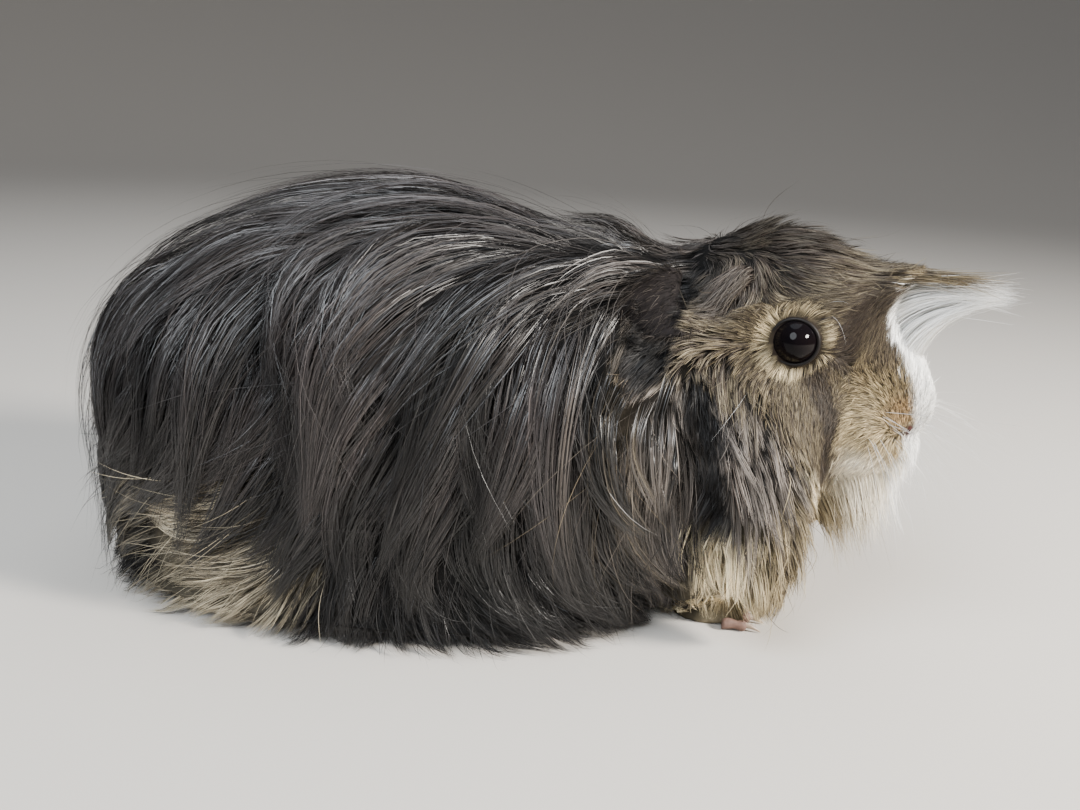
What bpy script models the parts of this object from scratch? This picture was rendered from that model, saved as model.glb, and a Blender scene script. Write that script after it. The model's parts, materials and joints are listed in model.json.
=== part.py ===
"""Long-haired guinea pig, resting with its head turned to its right, as a life-size museum model.

Metres, +Z up. +X runs from the rump to the nose, +Y is the animal's left, and Z = 0 is the floor.
The whole coated body is gathered from rounded masses, meshed as one closed form and parted with
thin cuts, so every solid carries the true outline of the coat.
"""

from math import cos, pi, radians, sin, sqrt

import bmesh
import bpy
from mathutils import Matrix, Vector

# ---- driving sizes -------------------------------------------------------------------------
GAP = 0.0003  # clear space between neighbouring solids
EAR_CLEARANCE = 0.0012  # the thin ears stand in a wider hollow of the coat
FORM_VOXEL = 0.0022  # grain of the body form before it is thinned
FORM_TRIANGLES = 2300
FORM_ROUNDS = 9  # how often the form is smoothed before it is thinned
LEG_VOXEL = 0.0008
LEG_TRIANGLES = 420
LEG_ROUNDS = 2
CUTTER_SIZE = 0.6  # larger than the animal
SOCKET_EASE = 1.3  # a curved socket is opened by a little more than the clear space
EAR_THICKNESS = 0.0022
EYE_RADIUS = 0.0058

HEAD_CENTRE = Vector((0.066, -0.005, 0.078))  # midway between the eyes, inside the skull
HEAD_TURN = radians(-20.0)  # towards the animal's right
HEAD_DROP = radians(16.0)  # nose down
HEAD_FRAME = (
    Matrix.Translation(HEAD_CENTRE)
    @ Matrix.Rotation(HEAD_TURN, 4, "Z")
    @ Matrix.Rotation(HEAD_DROP, 4, "Y")
)

# Each mass is (centre, radii, pitch in degrees). Body masses stand in the body's own frame.
BODY_MASSES = {
    "barrel": ((-0.022, 0.000, 0.060), (0.088, 0.053, 0.057), 0),
    "withers": ((0.020, 0.000, 0.058), (0.048, 0.049, 0.053), 0),
    "rump": ((-0.066, 0.000, 0.052), (0.050, 0.051, 0.052), 0),
    "chest": ((0.056, 0.000, 0.030), (0.030, 0.034, 0.032), 0),
    "neck": ((0.044, -0.002, 0.062), (0.036, 0.041, 0.041), 0),
    "right_ruff": ((0.071, -0.033, 0.042), (0.018, 0.013, 0.034), -14),
    "left_ruff": ((0.066, 0.024, 0.042), (0.020, 0.015, 0.036), -8),
}
# Head masses stand in the head's frame; a pair is mirrored to the other side.
HEAD_MASSES = {
    "cranium": ((0.003, 0.000, 0.007), (0.033, 0.026, 0.027), 0),
    "crown": ((0.010, 0.000, 0.022), (0.025, 0.021, 0.015), 4),
    "bridge": ((0.030, 0.000, 0.009), (0.024, 0.0155, 0.014), 24),
    "muzzle": ((0.033, 0.000, -0.005), (0.019, 0.0165, 0.016), 4),
    "nose_tip": ((0.0475, 0.000, 0.003), (0.006, 0.0085, 0.0085), 0),
    "lip": ((0.043, 0.000, -0.008), (0.0098, 0.0120, 0.0115), 8),
    "chin": ((0.034, 0.000, -0.021), (0.0155, 0.011, 0.011), -8),
    "beard": ((0.031, 0.000, -0.031), (0.014, 0.010, 0.011), -25),
}
HEAD_PAIRS = {
    "cheek": ((0.008, 0.013, -0.010), (0.027, 0.016, 0.021), 0),
    "whisker_pad": ((0.038, 0.0085, -0.006), (0.0115, 0.0095, 0.012), 0),
    "brow": ((0.015, 0.0155, 0.012), (0.014, 0.009, 0.012), 8),
}
# The long coat hangs as a skirt that reaches the floor, wider at the hem.
SKIRT_CENTRE = (-0.0275, 0.000)
SKIRT_HEM = (0.082, 0.053)  # half length and half width at the floor
SKIRT_TOP = (0.0865, 0.0515)
SKIRT_HEIGHT = 0.052
SKIRT_CORNER = 2.5  # superellipse power of its plan
SKIRT_SIDES = 48
SKIRT_BELOW = -0.012  # it runs on below the floor, which then cuts it flat
SKIRT_UPRIGHT = 0.004  # its hem stands upright up to here

EYE_CENTRE = (0.0165, 0.0195, 0.0115)  # in the head's frame, on the left
EAR_ROOT = (-0.011, 0.0175, 0.014)
EAR_LENGTH = 0.027
EAR_WIDTH = 0.023
EAR_CUP = 0.0030  # how far the long edges of the ear turn up
EAR_RISE = radians(-28)  # the ear leaves the head slightly upwards
EAR_FOLD = radians(96)  # and hangs downwards at its tip
EAR_LEAN = radians(34)  # its front edge stands higher than its back edge
NOSTRIL = ((0.0505, 0.0052, -0.0005), (0.0026, 0.0014, 0.0020))
MOUTH = ((0.0490, 0.000, -0.0162), (0.0075, 0.0100, 0.0009))

# A leg is its foot's centre on the floor, the foot's radii, its toes, and the upper end of the shin.
FORELEG = {
    "root": (0.064, 0.013, 0.000),
    "foot": (0.0095, 0.0062, 0.0062),
    "toes": 4,
    "toe_spread": 0.0095,
    "toe_length": 0.0075,
    "shin_top": (-0.010, 0.000, 0.026),
    "thigh_radius": 0.0085,
}
HINDLEG = {
    "root": (-0.062, 0.030, 0.000),
    "foot": (0.0190, 0.0068, 0.0068),
    "toes": 3,
    "toe_spread": 0.0085,
    "toe_length": 0.0095,
    "shin_top": (-0.004, -0.004, 0.026),
    "thigh_radius": 0.0110,
}
CLAW_REACH = Vector((0.0045, 0.001, -0.0006))  # the side step grows towards the outer toes
CLAW_BASE_RADIUS = 0.0011
CLAW_TIP_RADIUS = 0.0006

# The forelock sweeps from the brow out over the nose; a row is (centre, half width, half height).
FORELOCK = (
    ((0.020, 0.000, 0.024), 0.012, 0.010),
    ((0.032, 0.000, 0.028), 0.011, 0.0085),
    ((0.041, 0.000, 0.0315), 0.008, 0.0055),
    ((0.048, -0.001, 0.0345), 0.005, 0.0030),
    ((0.055, -0.002, 0.0365), 0.0018, 0.0010),
)

FORELOCK_SIDES = 20

NECK_FRONT = -0.016  # the cut between head and neck, along the head's own axis
NECK_FRONT_LEAN = (1.0, 0.0, -0.15)  # that cut's normal, in the head's frame
THROAT = -0.037  # the cut between head and chest, below the chin in the head's frame
NECK_BACK = 0.020  # the cut between neck and trunk, along the body
NECK_BACK_LEAN = (1.0, 0.0, -0.06)
RUMP_FRONT = -0.052  # the cut between trunk and rump
CUT_HEIGHT = 0.05  # where the two body cuts pass through those stations


# ---- materials -----------------------------------------------------------------------------
def finish(name, colour, roughness):
    """A Principled material of one colour."""
    material = bpy.data.materials.new(name)
    material.use_nodes = True
    shader = material.node_tree.nodes["Principled BSDF"]
    shader.inputs["Base Color"].default_value = (*colour, 1.0)
    shader.inputs["Roughness"].default_value = roughness
    shader.inputs["Metallic"].default_value = 0.0
    return material


# ---- shapes --------------------------------------------------------------------------------
def clear_scene():
    """Removes whatever the file already holds."""
    for existing in list(bpy.data.objects):
        bpy.data.objects.remove(existing)


def to_object(bm, name):
    """Turns a bmesh into a linked object."""
    mesh = bpy.data.meshes.new(name)
    bm.to_mesh(mesh)
    bm.free()
    made = bpy.data.objects.new(name, mesh)
    bpy.context.scene.collection.objects.link(made)
    return made


def add_ellipsoid(bm, centre, radii, pitch=0.0, frame=None):
    """Adds a rounded mass whose long axis is tipped nose-down by pitch degrees."""
    place = (
        (frame or Matrix.Identity(4))
        @ Matrix.Translation(centre)
        @ Matrix.Rotation(radians(pitch), 4, "Y")
        @ Matrix.Diagonal((*radii, 1.0))
    )
    bmesh.ops.create_icosphere(bm, subdivisions=4, radius=1.0, matrix=place)


def add_capsule(bm, start, end, radius_start, radius_end, frame=None):
    """Adds a tapered limb piece: a cone between two balls."""
    frame = frame or Matrix.Identity(4)
    start = Vector(start)
    end = Vector(end)
    along = end - start
    turn = along.to_track_quat("Z", "Y").to_matrix().to_4x4()
    place = frame @ Matrix.Translation((start + end) / 2) @ turn
    bmesh.ops.create_cone(
        bm,
        cap_ends=True,
        segments=20,
        radius1=radius_start,
        radius2=radius_end,
        depth=along.length,
        matrix=place,
    )
    add_ellipsoid(bm, start, (radius_start,) * 3, frame=frame)
    add_ellipsoid(bm, end, (radius_end,) * 3, frame=frame)


def superellipse(half_length, half_width, power, turn):
    """A point of a rounded-rectangle plan."""
    c = cos(turn)
    s = sin(turn)
    x = half_length * abs(c) ** (2 / power) * (1 if c >= 0 else -1)
    y = half_width * abs(s) ** (2 / power) * (1 if s >= 0 else -1)
    return x, y


def add_skirt(bm):
    """Adds the hanging part of the coat, from below the floor up into the barrel."""
    levels = ((SKIRT_HEM, SKIRT_BELOW), (SKIRT_HEM, SKIRT_UPRIGHT), (SKIRT_TOP, SKIRT_HEIGHT))
    rings = []
    for (half_length, half_width), height in levels:
        ring = []
        for k in range(SKIRT_SIDES):
            x, y = superellipse(half_length, half_width, SKIRT_CORNER, 2 * pi * k / SKIRT_SIDES)
            ring.append(bm.verts.new((SKIRT_CENTRE[0] + x, SKIRT_CENTRE[1] + y, height)))
        rings.append(ring)
    for lower, upper in zip(rings, rings[1:]):
        for k in range(SKIRT_SIDES):
            after = (k + 1) % SKIRT_SIDES
            bm.faces.new((lower[k], lower[after], upper[after], upper[k]))
    bm.faces.new(list(reversed(rings[0])))
    bm.faces.new(rings[-1])


def settle(source, voxel, rounds, triangles, name):
    """Melts overlapping masses into one closed skin of about that many triangles."""
    remesh = source.modifiers.new("melt", "REMESH")
    remesh.mode = "VOXEL"
    remesh.voxel_size = voxel
    smooth = source.modifiers.new("soften", "SMOOTH")
    smooth.factor = 0.5
    smooth.iterations = rounds
    graph = bpy.context.evaluated_depsgraph_get()
    melted = bpy.data.meshes.new_from_object(source.evaluated_get(graph), depsgraph=graph)
    bpy.data.objects.remove(source)
    whole = bpy.data.objects.new(name, melted)
    bpy.context.scene.collection.objects.link(whole)
    thin = whole.modifiers.new("thin", "DECIMATE")
    thin.ratio = min(1.0, triangles / (2 * len(melted.polygons)))
    return freeze(whole)


def freeze(obj):
    """Makes an object's modifiers part of its mesh."""
    graph = bpy.context.evaluated_depsgraph_get()
    graph.update()
    mesh = bpy.data.meshes.new_from_object(obj.evaluated_get(graph), depsgraph=graph)
    obj.modifiers.clear()
    obj.data = mesh
    return obj


def cut(obj, cutter, operation):
    """Booleans one object with another and keeps the result."""
    modifier = obj.modifiers.new("cut", "BOOLEAN")
    modifier.operation = operation
    modifier.solver = "EXACT"
    modifier.object = cutter
    return freeze(obj)


def grown(obj, by):
    """A copy of a solid, puffed out along its normals, that cuts a socket for it."""
    copy = bpy.data.objects.new(obj.name + "_socket", obj.data.copy())
    bpy.context.scene.collection.objects.link(copy)
    bm = bmesh.new()
    bm.from_mesh(copy.data)
    bmesh.ops.recalc_face_normals(bm, faces=bm.faces)
    bm.normal_update()
    offsets = [vertex.normal * by for vertex in bm.verts]
    for vertex, offset in zip(bm.verts, offsets):
        vertex.co += offset
    bm.to_mesh(copy.data)
    bm.free()
    return copy


def half_space(point, normal, name):
    """A large box whose one face lies on a plane; it fills the side the normal points to."""
    bm = bmesh.new()
    turn = Vector(normal).to_track_quat("Z", "Y").to_matrix().to_4x4()
    place = Matrix.Translation(point) @ turn @ Matrix.Translation((0, 0, CUTTER_SIZE / 2))
    bmesh.ops.create_cube(bm, size=CUTTER_SIZE, matrix=place)
    return to_object(bm, name)


# ---- the animal ----------------------------------------------------------------------------
def make_whole():
    """The coated body and head as one form, flat where it rests on the floor."""
    bm = bmesh.new()
    for centre, radii, pitch in BODY_MASSES.values():
        add_ellipsoid(bm, centre, radii, pitch)
    for centre, radii, pitch in HEAD_MASSES.values():
        add_ellipsoid(bm, centre, radii, pitch, HEAD_FRAME)
    for (x, y, z), radii, pitch in HEAD_PAIRS.values():
        for side in (1, -1):
            add_ellipsoid(bm, (x, side * y, z), radii, pitch, HEAD_FRAME)
    add_skirt(bm)
    whole = settle(to_object(bm, "whole"), FORM_VOXEL, FORM_ROUNDS, FORM_TRIANGLES, "whole")
    floor = half_space((0, 0, 0), (0, 0, -1), "floor_cutter")
    cut(whole, floor, "DIFFERENCE")
    bpy.data.objects.remove(floor)
    return whole


def make_leg(name, side, plan):
    """A leg with its foot flat on the floor, its toes and a claw on each."""
    x, y, z = plan["root"]
    place = Matrix.Translation((x, side * y, z)) @ Matrix.Diagonal((1, side, 1, 1))
    length, width, height = plan["foot"]
    spread = plan["toe_spread"]
    bm = bmesh.new()
    ankle = (0, 0, height * 0.9)
    add_capsule(bm, ankle, plan["shin_top"], width * 0.8, plan["thigh_radius"], place)
    add_ellipsoid(bm, (0.1 * length, 0, height * 0.45), plan["foot"], frame=place)
    for k in range(plan["toes"]):
        share = k / (plan["toes"] - 1) - 0.5
        base = Vector((0.55 * length, share * spread, height * 0.4))
        reach = plan["toe_length"] * (1.0 - 0.9 * share * share)
        tip = base + Vector((reach, share * spread * 0.5, -height * 0.12))
        add_capsule(bm, base, tip, width * 0.30, width * 0.25, place)
        claw = tip + Vector((CLAW_REACH.x, share * CLAW_REACH.y, CLAW_REACH.z))
        add_capsule(bm, tip, claw, CLAW_BASE_RADIUS, CLAW_TIP_RADIUS, place)
    bmesh.ops.recalc_face_normals(bm, faces=bm.faces)
    leg = settle(to_object(bm, name), LEG_VOXEL, LEG_ROUNDS, LEG_TRIANGLES, name)
    floor = half_space((0, 0, 0), (0, 0, -1), "floor_cutter")
    cut(leg, floor, "DIFFERENCE")
    bpy.data.objects.remove(floor)
    return leg


def make_ear(name, side, grow=0.0):
    """A petal ear that folds out and down from the side of the head, or its socket when grown."""
    bm = bmesh.new()
    bmesh.ops.create_grid(bm, x_segments=8, y_segments=7, size=0.5)
    for vertex in bm.verts:
        along = (vertex.co.x + 0.5) * (1 + 2 * grow / EAR_LENGTH) - grow / EAR_LENGTH
        across = vertex.co.y * 2
        half = EAR_WIDTH / 2 * sqrt(1 - ((min(max(along, 0.0), 1.0) - 0.45) / 0.565) ** 2) + grow
        bend = EAR_RISE + (EAR_FOLD - EAR_RISE) * along
        turned = EAR_LENGTH / (EAR_FOLD - EAR_RISE)
        out = turned * (sin(bend) - sin(EAR_RISE))
        down = turned * (cos(EAR_RISE) - cos(bend))
        cup = EAR_CUP * across * across * (1 - 0.5 * along)
        vertex.co = Vector((across * half - 0.18 * down, out + cup * sin(bend), cup * cos(bend) - down))
    ear = to_object(bm, name)
    shell = ear.modifiers.new("wall", "SOLIDIFY")
    shell.thickness = EAR_THICKNESS + 2 * grow
    shell.offset = 0.0
    freeze(ear)
    place = HEAD_FRAME @ Matrix.Diagonal((1, side, 1, 1)) @ Matrix.Translation(EAR_ROOT)
    ear.data.transform(place @ Matrix.Rotation(EAR_LEAN, 4, "Y"))
    bm = bmesh.new()
    bm.from_mesh(ear.data)
    bmesh.ops.recalc_face_normals(bm, faces=bm.faces)
    bm.to_mesh(ear.data)
    bm.free()
    return ear


def make_eye(name, side):
    """A round, glossy eyeball."""
    x, y, z = EYE_CENTRE
    place = HEAD_FRAME @ Matrix.Translation((x, side * y, z))
    bm = bmesh.new()
    bmesh.ops.create_uvsphere(
        bm, u_segments=18, v_segments=11, radius=EYE_RADIUS, matrix=place
    )
    eye = to_object(bm, name)
    eye.data.shade_smooth()
    return eye


def carve_face(head):
    """Nostrils and the line of the mouth."""
    (x, y, z), nostril_radii = NOSTRIL
    dents = [((x, y, z), nostril_radii), ((x, -y, z), nostril_radii), MOUTH]
    for centre, radii in dents:
        bm = bmesh.new()
        place = HEAD_FRAME @ Matrix.Translation(centre) @ Matrix.Diagonal((*radii, 1.0))
        bmesh.ops.create_icosphere(bm, subdivisions=2, radius=1.0, matrix=place)
        dent = to_object(bm, "dent")
        cut(head, dent, "DIFFERENCE")
        bpy.data.objects.remove(dent)


def make_forelock(name):
    """The tuft over the brow, lofted through its oval sections."""
    bm = bmesh.new()
    rings = []
    for (x, y, z), half_width, half_height in FORELOCK:
        turns = [2 * pi * k / FORELOCK_SIDES for k in range(FORELOCK_SIDES)]
        ring = [
            bm.verts.new(HEAD_FRAME @ Vector((x, y + half_width * cos(a), z + half_height * sin(a))))
            for a in turns
        ]
        rings.append(ring)
    for near, far in zip(rings, rings[1:]):
        for k in range(FORELOCK_SIDES):
            after = (k + 1) % FORELOCK_SIDES
            bm.faces.new((near[k], near[after], far[after], far[k]))
    bm.faces.new(rings[0])
    bm.faces.new(rings[-1])
    bmesh.ops.recalc_face_normals(bm, faces=bm.faces)
    return to_object(bm, name)


def duplicate(obj, name):
    """A linked copy with a mesh of its own."""
    copy = bpy.data.objects.new(name, obj.data.copy())
    bpy.context.scene.collection.objects.link(copy)
    return copy


def section(whole, name, planes):
    """The share of the whole that lies on the given side of every plane."""
    piece = duplicate(whole, name)
    for k, (point, normal) in enumerate(planes):
        inside = Vector(normal).normalized()
        keep = half_space(Vector(point) + inside * GAP / 2, inside, f"keep_{k}")
        cut(piece, keep, "INTERSECT")
        bpy.data.objects.remove(keep)
    return piece


def carve(pieces, solid, socket=None):
    """Sinks a socket for a solid into every piece it touches."""
    socket = socket or grown(solid, GAP * SOCKET_EASE)
    for piece in pieces:
        cut(piece, socket, "DIFFERENCE")
    bpy.data.objects.remove(socket)


def main():
    """Builds every node of the animal."""
    clear_scene()
    dark_coat = finish("long_coat", (0.055, 0.047, 0.043), 0.55)
    face_coat = finish("face_coat", (0.30, 0.22, 0.13), 0.70)
    bare_skin = finish("bare_skin", (0.08, 0.06, 0.06), 0.60)
    eye_gloss = finish("eye_gloss", (0.008, 0.007, 0.010), 0.05)
    foot_coat = finish("foot_coat", (0.52, 0.43, 0.30), 0.75)

    whole = make_whole()
    head_axis = HEAD_FRAME.to_3x3() @ Vector(NECK_FRONT_LEAN)
    head_cut = HEAD_FRAME @ Vector((NECK_FRONT, 0, 0))
    throat_cut = HEAD_FRAME @ Vector((0, 0, THROAT))
    throat_axis = HEAD_FRAME.to_3x3() @ Vector((0, 0, 1))
    neck_cut = Vector((NECK_BACK, 0, CUT_HEIGHT))
    neck_lean = Vector(NECK_BACK_LEAN)
    rump_cut = Vector((RUMP_FRONT, 0, CUT_HEIGHT))
    rump_lean = Vector((1, 0, 0))
    front = [(head_cut, head_axis), (neck_cut, neck_lean)]
    head = section(whole, "head", [*front, (throat_cut, throat_axis)])
    chest = section(whole, "chest", [*front, (throat_cut, -throat_axis)])
    neck = section(whole, "neck", [(head_cut, -head_axis), (neck_cut, neck_lean)])
    trunk = section(whole, "trunk", [(neck_cut, -neck_lean), (rump_cut, rump_lean)])
    rump = section(whole, "rump", [(rump_cut, -rump_lean)])
    bpy.data.objects.remove(whole)

    legs = []
    ears = []
    eyes = []
    for side, word in ((1, "left"), (-1, "right")):
        legs.append(make_leg(f"foreleg_{word}", side, FORELEG))
        legs.append(make_leg(f"hindleg_{word}", side, HINDLEG))
        ears.append(make_ear(f"ear_{word}", side))
        eyes.append(make_eye(f"eye_{word}", side))
    carve_face(head)
    forelock = make_forelock("forelock")
    carve([head], forelock)
    for leg in legs:
        carve([chest, neck, trunk, rump], leg)
    for ear, side in zip(ears, (1, -1)):
        carve([head, neck], ear, make_ear("ear_socket", side, EAR_CLEARANCE))
    for eye in eyes:
        carve([head], eye)

    for obj in (head, chest, neck, trunk, rump):
        obj.data.shade_smooth()
    dressed = [(head, face_coat), (chest, foot_coat), (forelock, foot_coat)]
    dressed += [(piece, dark_coat) for piece in (neck, trunk, rump)]
    dressed += [(leg, foot_coat) for leg in legs]
    dressed += [(ear, bare_skin) for ear in ears]
    dressed += [(eye, eye_gloss) for eye in eyes]
    for obj, material in dressed:
        obj.data.materials.clear()
        obj.data.materials.append(material)


main()
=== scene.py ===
"""Looks of the long-haired guinea pig: skin, combed coat of solid mesh hair, eyes, ears, claws."""

import json
import logging
from dataclasses import dataclass, field
from enum import Enum
from math import cos, pi, radians, sin

import bmesh
import bpy
import numpy as np
from mathutils import Matrix, Vector
from mathutils.bvhtree import BVHTree

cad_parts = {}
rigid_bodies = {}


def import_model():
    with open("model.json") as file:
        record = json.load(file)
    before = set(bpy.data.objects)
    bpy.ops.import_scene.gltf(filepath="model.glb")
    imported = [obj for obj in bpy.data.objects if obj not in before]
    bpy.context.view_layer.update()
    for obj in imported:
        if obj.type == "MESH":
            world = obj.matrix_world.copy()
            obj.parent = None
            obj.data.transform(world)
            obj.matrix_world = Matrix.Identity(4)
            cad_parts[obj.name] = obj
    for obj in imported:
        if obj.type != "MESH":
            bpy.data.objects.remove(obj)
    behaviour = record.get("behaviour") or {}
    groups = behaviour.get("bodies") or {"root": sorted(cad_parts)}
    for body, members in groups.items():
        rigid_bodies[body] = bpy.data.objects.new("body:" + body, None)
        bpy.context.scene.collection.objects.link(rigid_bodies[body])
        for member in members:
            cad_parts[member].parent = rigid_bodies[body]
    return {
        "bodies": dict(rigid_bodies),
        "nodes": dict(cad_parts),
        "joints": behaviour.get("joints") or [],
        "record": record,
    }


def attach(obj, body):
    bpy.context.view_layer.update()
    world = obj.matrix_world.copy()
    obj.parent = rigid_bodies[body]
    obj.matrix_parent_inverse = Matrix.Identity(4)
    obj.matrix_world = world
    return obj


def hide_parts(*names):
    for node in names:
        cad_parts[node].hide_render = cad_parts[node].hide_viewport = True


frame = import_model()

LOG = logging.getLogger("guinea_pig")
MM = 0.001
COLOUR = "coat"  # the vertex attribute that holds the markings and the painted shade
PATCH = 0.003  # the width of a tuft's patch on the unrolled skin
FLESH = ("head", "neck", "chest", "trunk", "rump")
LEGS = ("foreleg_left", "foreleg_right", "hindleg_left", "hindleg_right")


class Place(Enum):
    """Whose axes a position is given in."""

    BODY = "body"
    HEAD = "head"


# ---- small helpers ---------------------------------------------------------------------------
def unit(v: np.ndarray) -> np.ndarray:
    """Scales vectors on the last axis to length one."""
    return v / np.maximum(np.linalg.norm(v, axis=-1, keepdims=True), 1e-12)


def ramp(x: np.ndarray, low: float, high: float) -> np.ndarray:
    """A smooth step from 0 at low to 1 at high."""
    t = np.clip((x - low) / (high - low), 0.0, 1.0)
    return t * t * (3.0 - 2.0 * t)


def mix(a: np.ndarray, b: np.ndarray, share: np.ndarray) -> np.ndarray:
    """Blends two colours or vectors by a share for each row."""
    share = np.asarray(share)[..., None]
    return a * (1.0 - share) + b * share


def srgb(red: int, green: int, blue: int) -> np.ndarray:
    """A display colour, 0 to 255, as the linear values that shaders take."""
    c = np.array([red, green, blue]) / 255.0
    return np.where(c <= 0.04045, c / 12.92, ((c + 0.055) / 1.055) ** 2.4)


def waves(points: np.ndarray, scale: float, seed: int) -> np.ndarray:
    """A smooth random field in -1 to 1, summed from a few tilted sine waves.

    Args:
        points: Positions, in metres.
        scale: The size of its patches, in metres.
        seed: Which field.

    Returns:
        One value for each position.
    """
    rng = np.random.default_rng(seed)
    total = np.zeros(points.shape[:-1])
    for _ in range(7):
        direction = unit(rng.normal(size=3)) * rng.uniform(0.6, 1.5) * 2.0 * pi / scale
        total += np.sin(points @ direction + rng.uniform(0, 2 * pi))
    return total / 3.2


def new_object(name: str, mesh: bpy.types.Mesh) -> bpy.types.Object:
    """Links a mesh to the scene as an object at the origin."""
    made = bpy.data.objects.new(name, mesh)
    bpy.context.scene.collection.objects.link(made)
    return made


def applied(obj: bpy.types.Object) -> bpy.types.Object:
    """Makes an object's modifiers part of its mesh.

    Args:
        obj: The object; its modifiers are cleared.

    Returns:
        The same object, with its finished mesh.
    """
    graph = bpy.context.evaluated_depsgraph_get()
    graph.update()
    mesh = bpy.data.meshes.new_from_object(obj.evaluated_get(graph), depsgraph=graph)
    obj.modifiers.clear()
    obj.data = mesh
    return obj


def vertex_arrays(mesh: bpy.types.Mesh) -> tuple[np.ndarray, np.ndarray]:
    """The positions and normals of a mesh's vertices.

    Args:
        mesh: The mesh to read.

    Returns:
        Positions and normals, a row for each vertex.
    """
    count = len(mesh.vertices)
    points, normals = np.empty(count * 3, np.float32), np.empty(count * 3, np.float32)
    mesh.vertices.foreach_get("co", points)
    mesh.vertex_normals.foreach_get("vector", normals)
    return points.reshape(-1, 3).astype(float), normals.reshape(-1, 3).astype(float)


def paint(mesh: bpy.types.Mesh, colours: np.ndarray) -> None:
    """Stores linear colours on a mesh's vertices.

    Args:
        mesh: The mesh to colour.
        colours: A linear colour for each vertex.
    """
    rgba = np.ones((len(colours), 4), np.float32)
    rgba[:, :3] = colours
    layer = mesh.color_attributes.new(name=COLOUR, type="FLOAT_COLOR", domain="POINT")
    layer.data.foreach_set("color", rgba.ravel())


# ---- where the head is -----------------------------------------------------------------------
@dataclass(frozen=True)
class HeadFrame:
    """The head's own axes: x to the nose, y to its left, z to the crown."""

    centre: tuple[float, float, float] = (0.066, -0.005, 0.078)
    turn: float = radians(-20.0)
    drop: float = radians(16.0)

    def matrix(self) -> Matrix:
        """From the head's axes to the model's."""
        turned = Matrix.Rotation(self.turn, 4, "Z") @ Matrix.Rotation(self.drop, 4, "Y")
        return Matrix.Translation(self.centre) @ turned

    def rotation(self) -> np.ndarray:
        """The turning part alone."""
        return np.array(self.matrix().to_3x3())

    def inward(self, points: np.ndarray) -> np.ndarray:
        """Model positions, seen in the head's axes."""
        return (points - np.array(self.centre)) @ self.rotation()

    def outward(self, points: np.ndarray) -> np.ndarray:
        """Head positions, placed in the model."""
        return points @ self.rotation().T + np.array(self.centre)


HEAD = HeadFrame()
EYE = np.array([16.5, 19.5, 11.5]) * MM  # the left eye's centre, in the head's axes
EYE_RADIUS = 5.8 * MM


# ---- the lie of the coat ---------------------------------------------------------------------
@dataclass(frozen=True)
class Comb:
    """How the hair lies at one place; y is outwards from the middle, and both sides are combed.

    Attributes:
        at: Position in millimetres.
        towards: The way that the hair runs from its root.
        length: Hair length in millimetres.
        depth: How far the skin lies below the tips' outline, in millimetres.
        reach: How far this stroke is felt, in millimetres.
        curl: How far the hair turns towards the front by its tip, in degrees.
        place: Whose axes at and towards are given in.
    """

    at: tuple[float, float, float]
    towards: tuple[float, float, float]
    length: float
    depth: float
    reach: float = 15.0
    curl: float = 0.0
    place: Place = Place.BODY


def on_head(at: tuple, towards: tuple, length: float, depth: float, reach: float = 6.5) -> Comb:
    """A comb stroke given in the head's axes."""
    return Comb(at, towards, length, depth, reach, 0.0, Place.HEAD)


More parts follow.
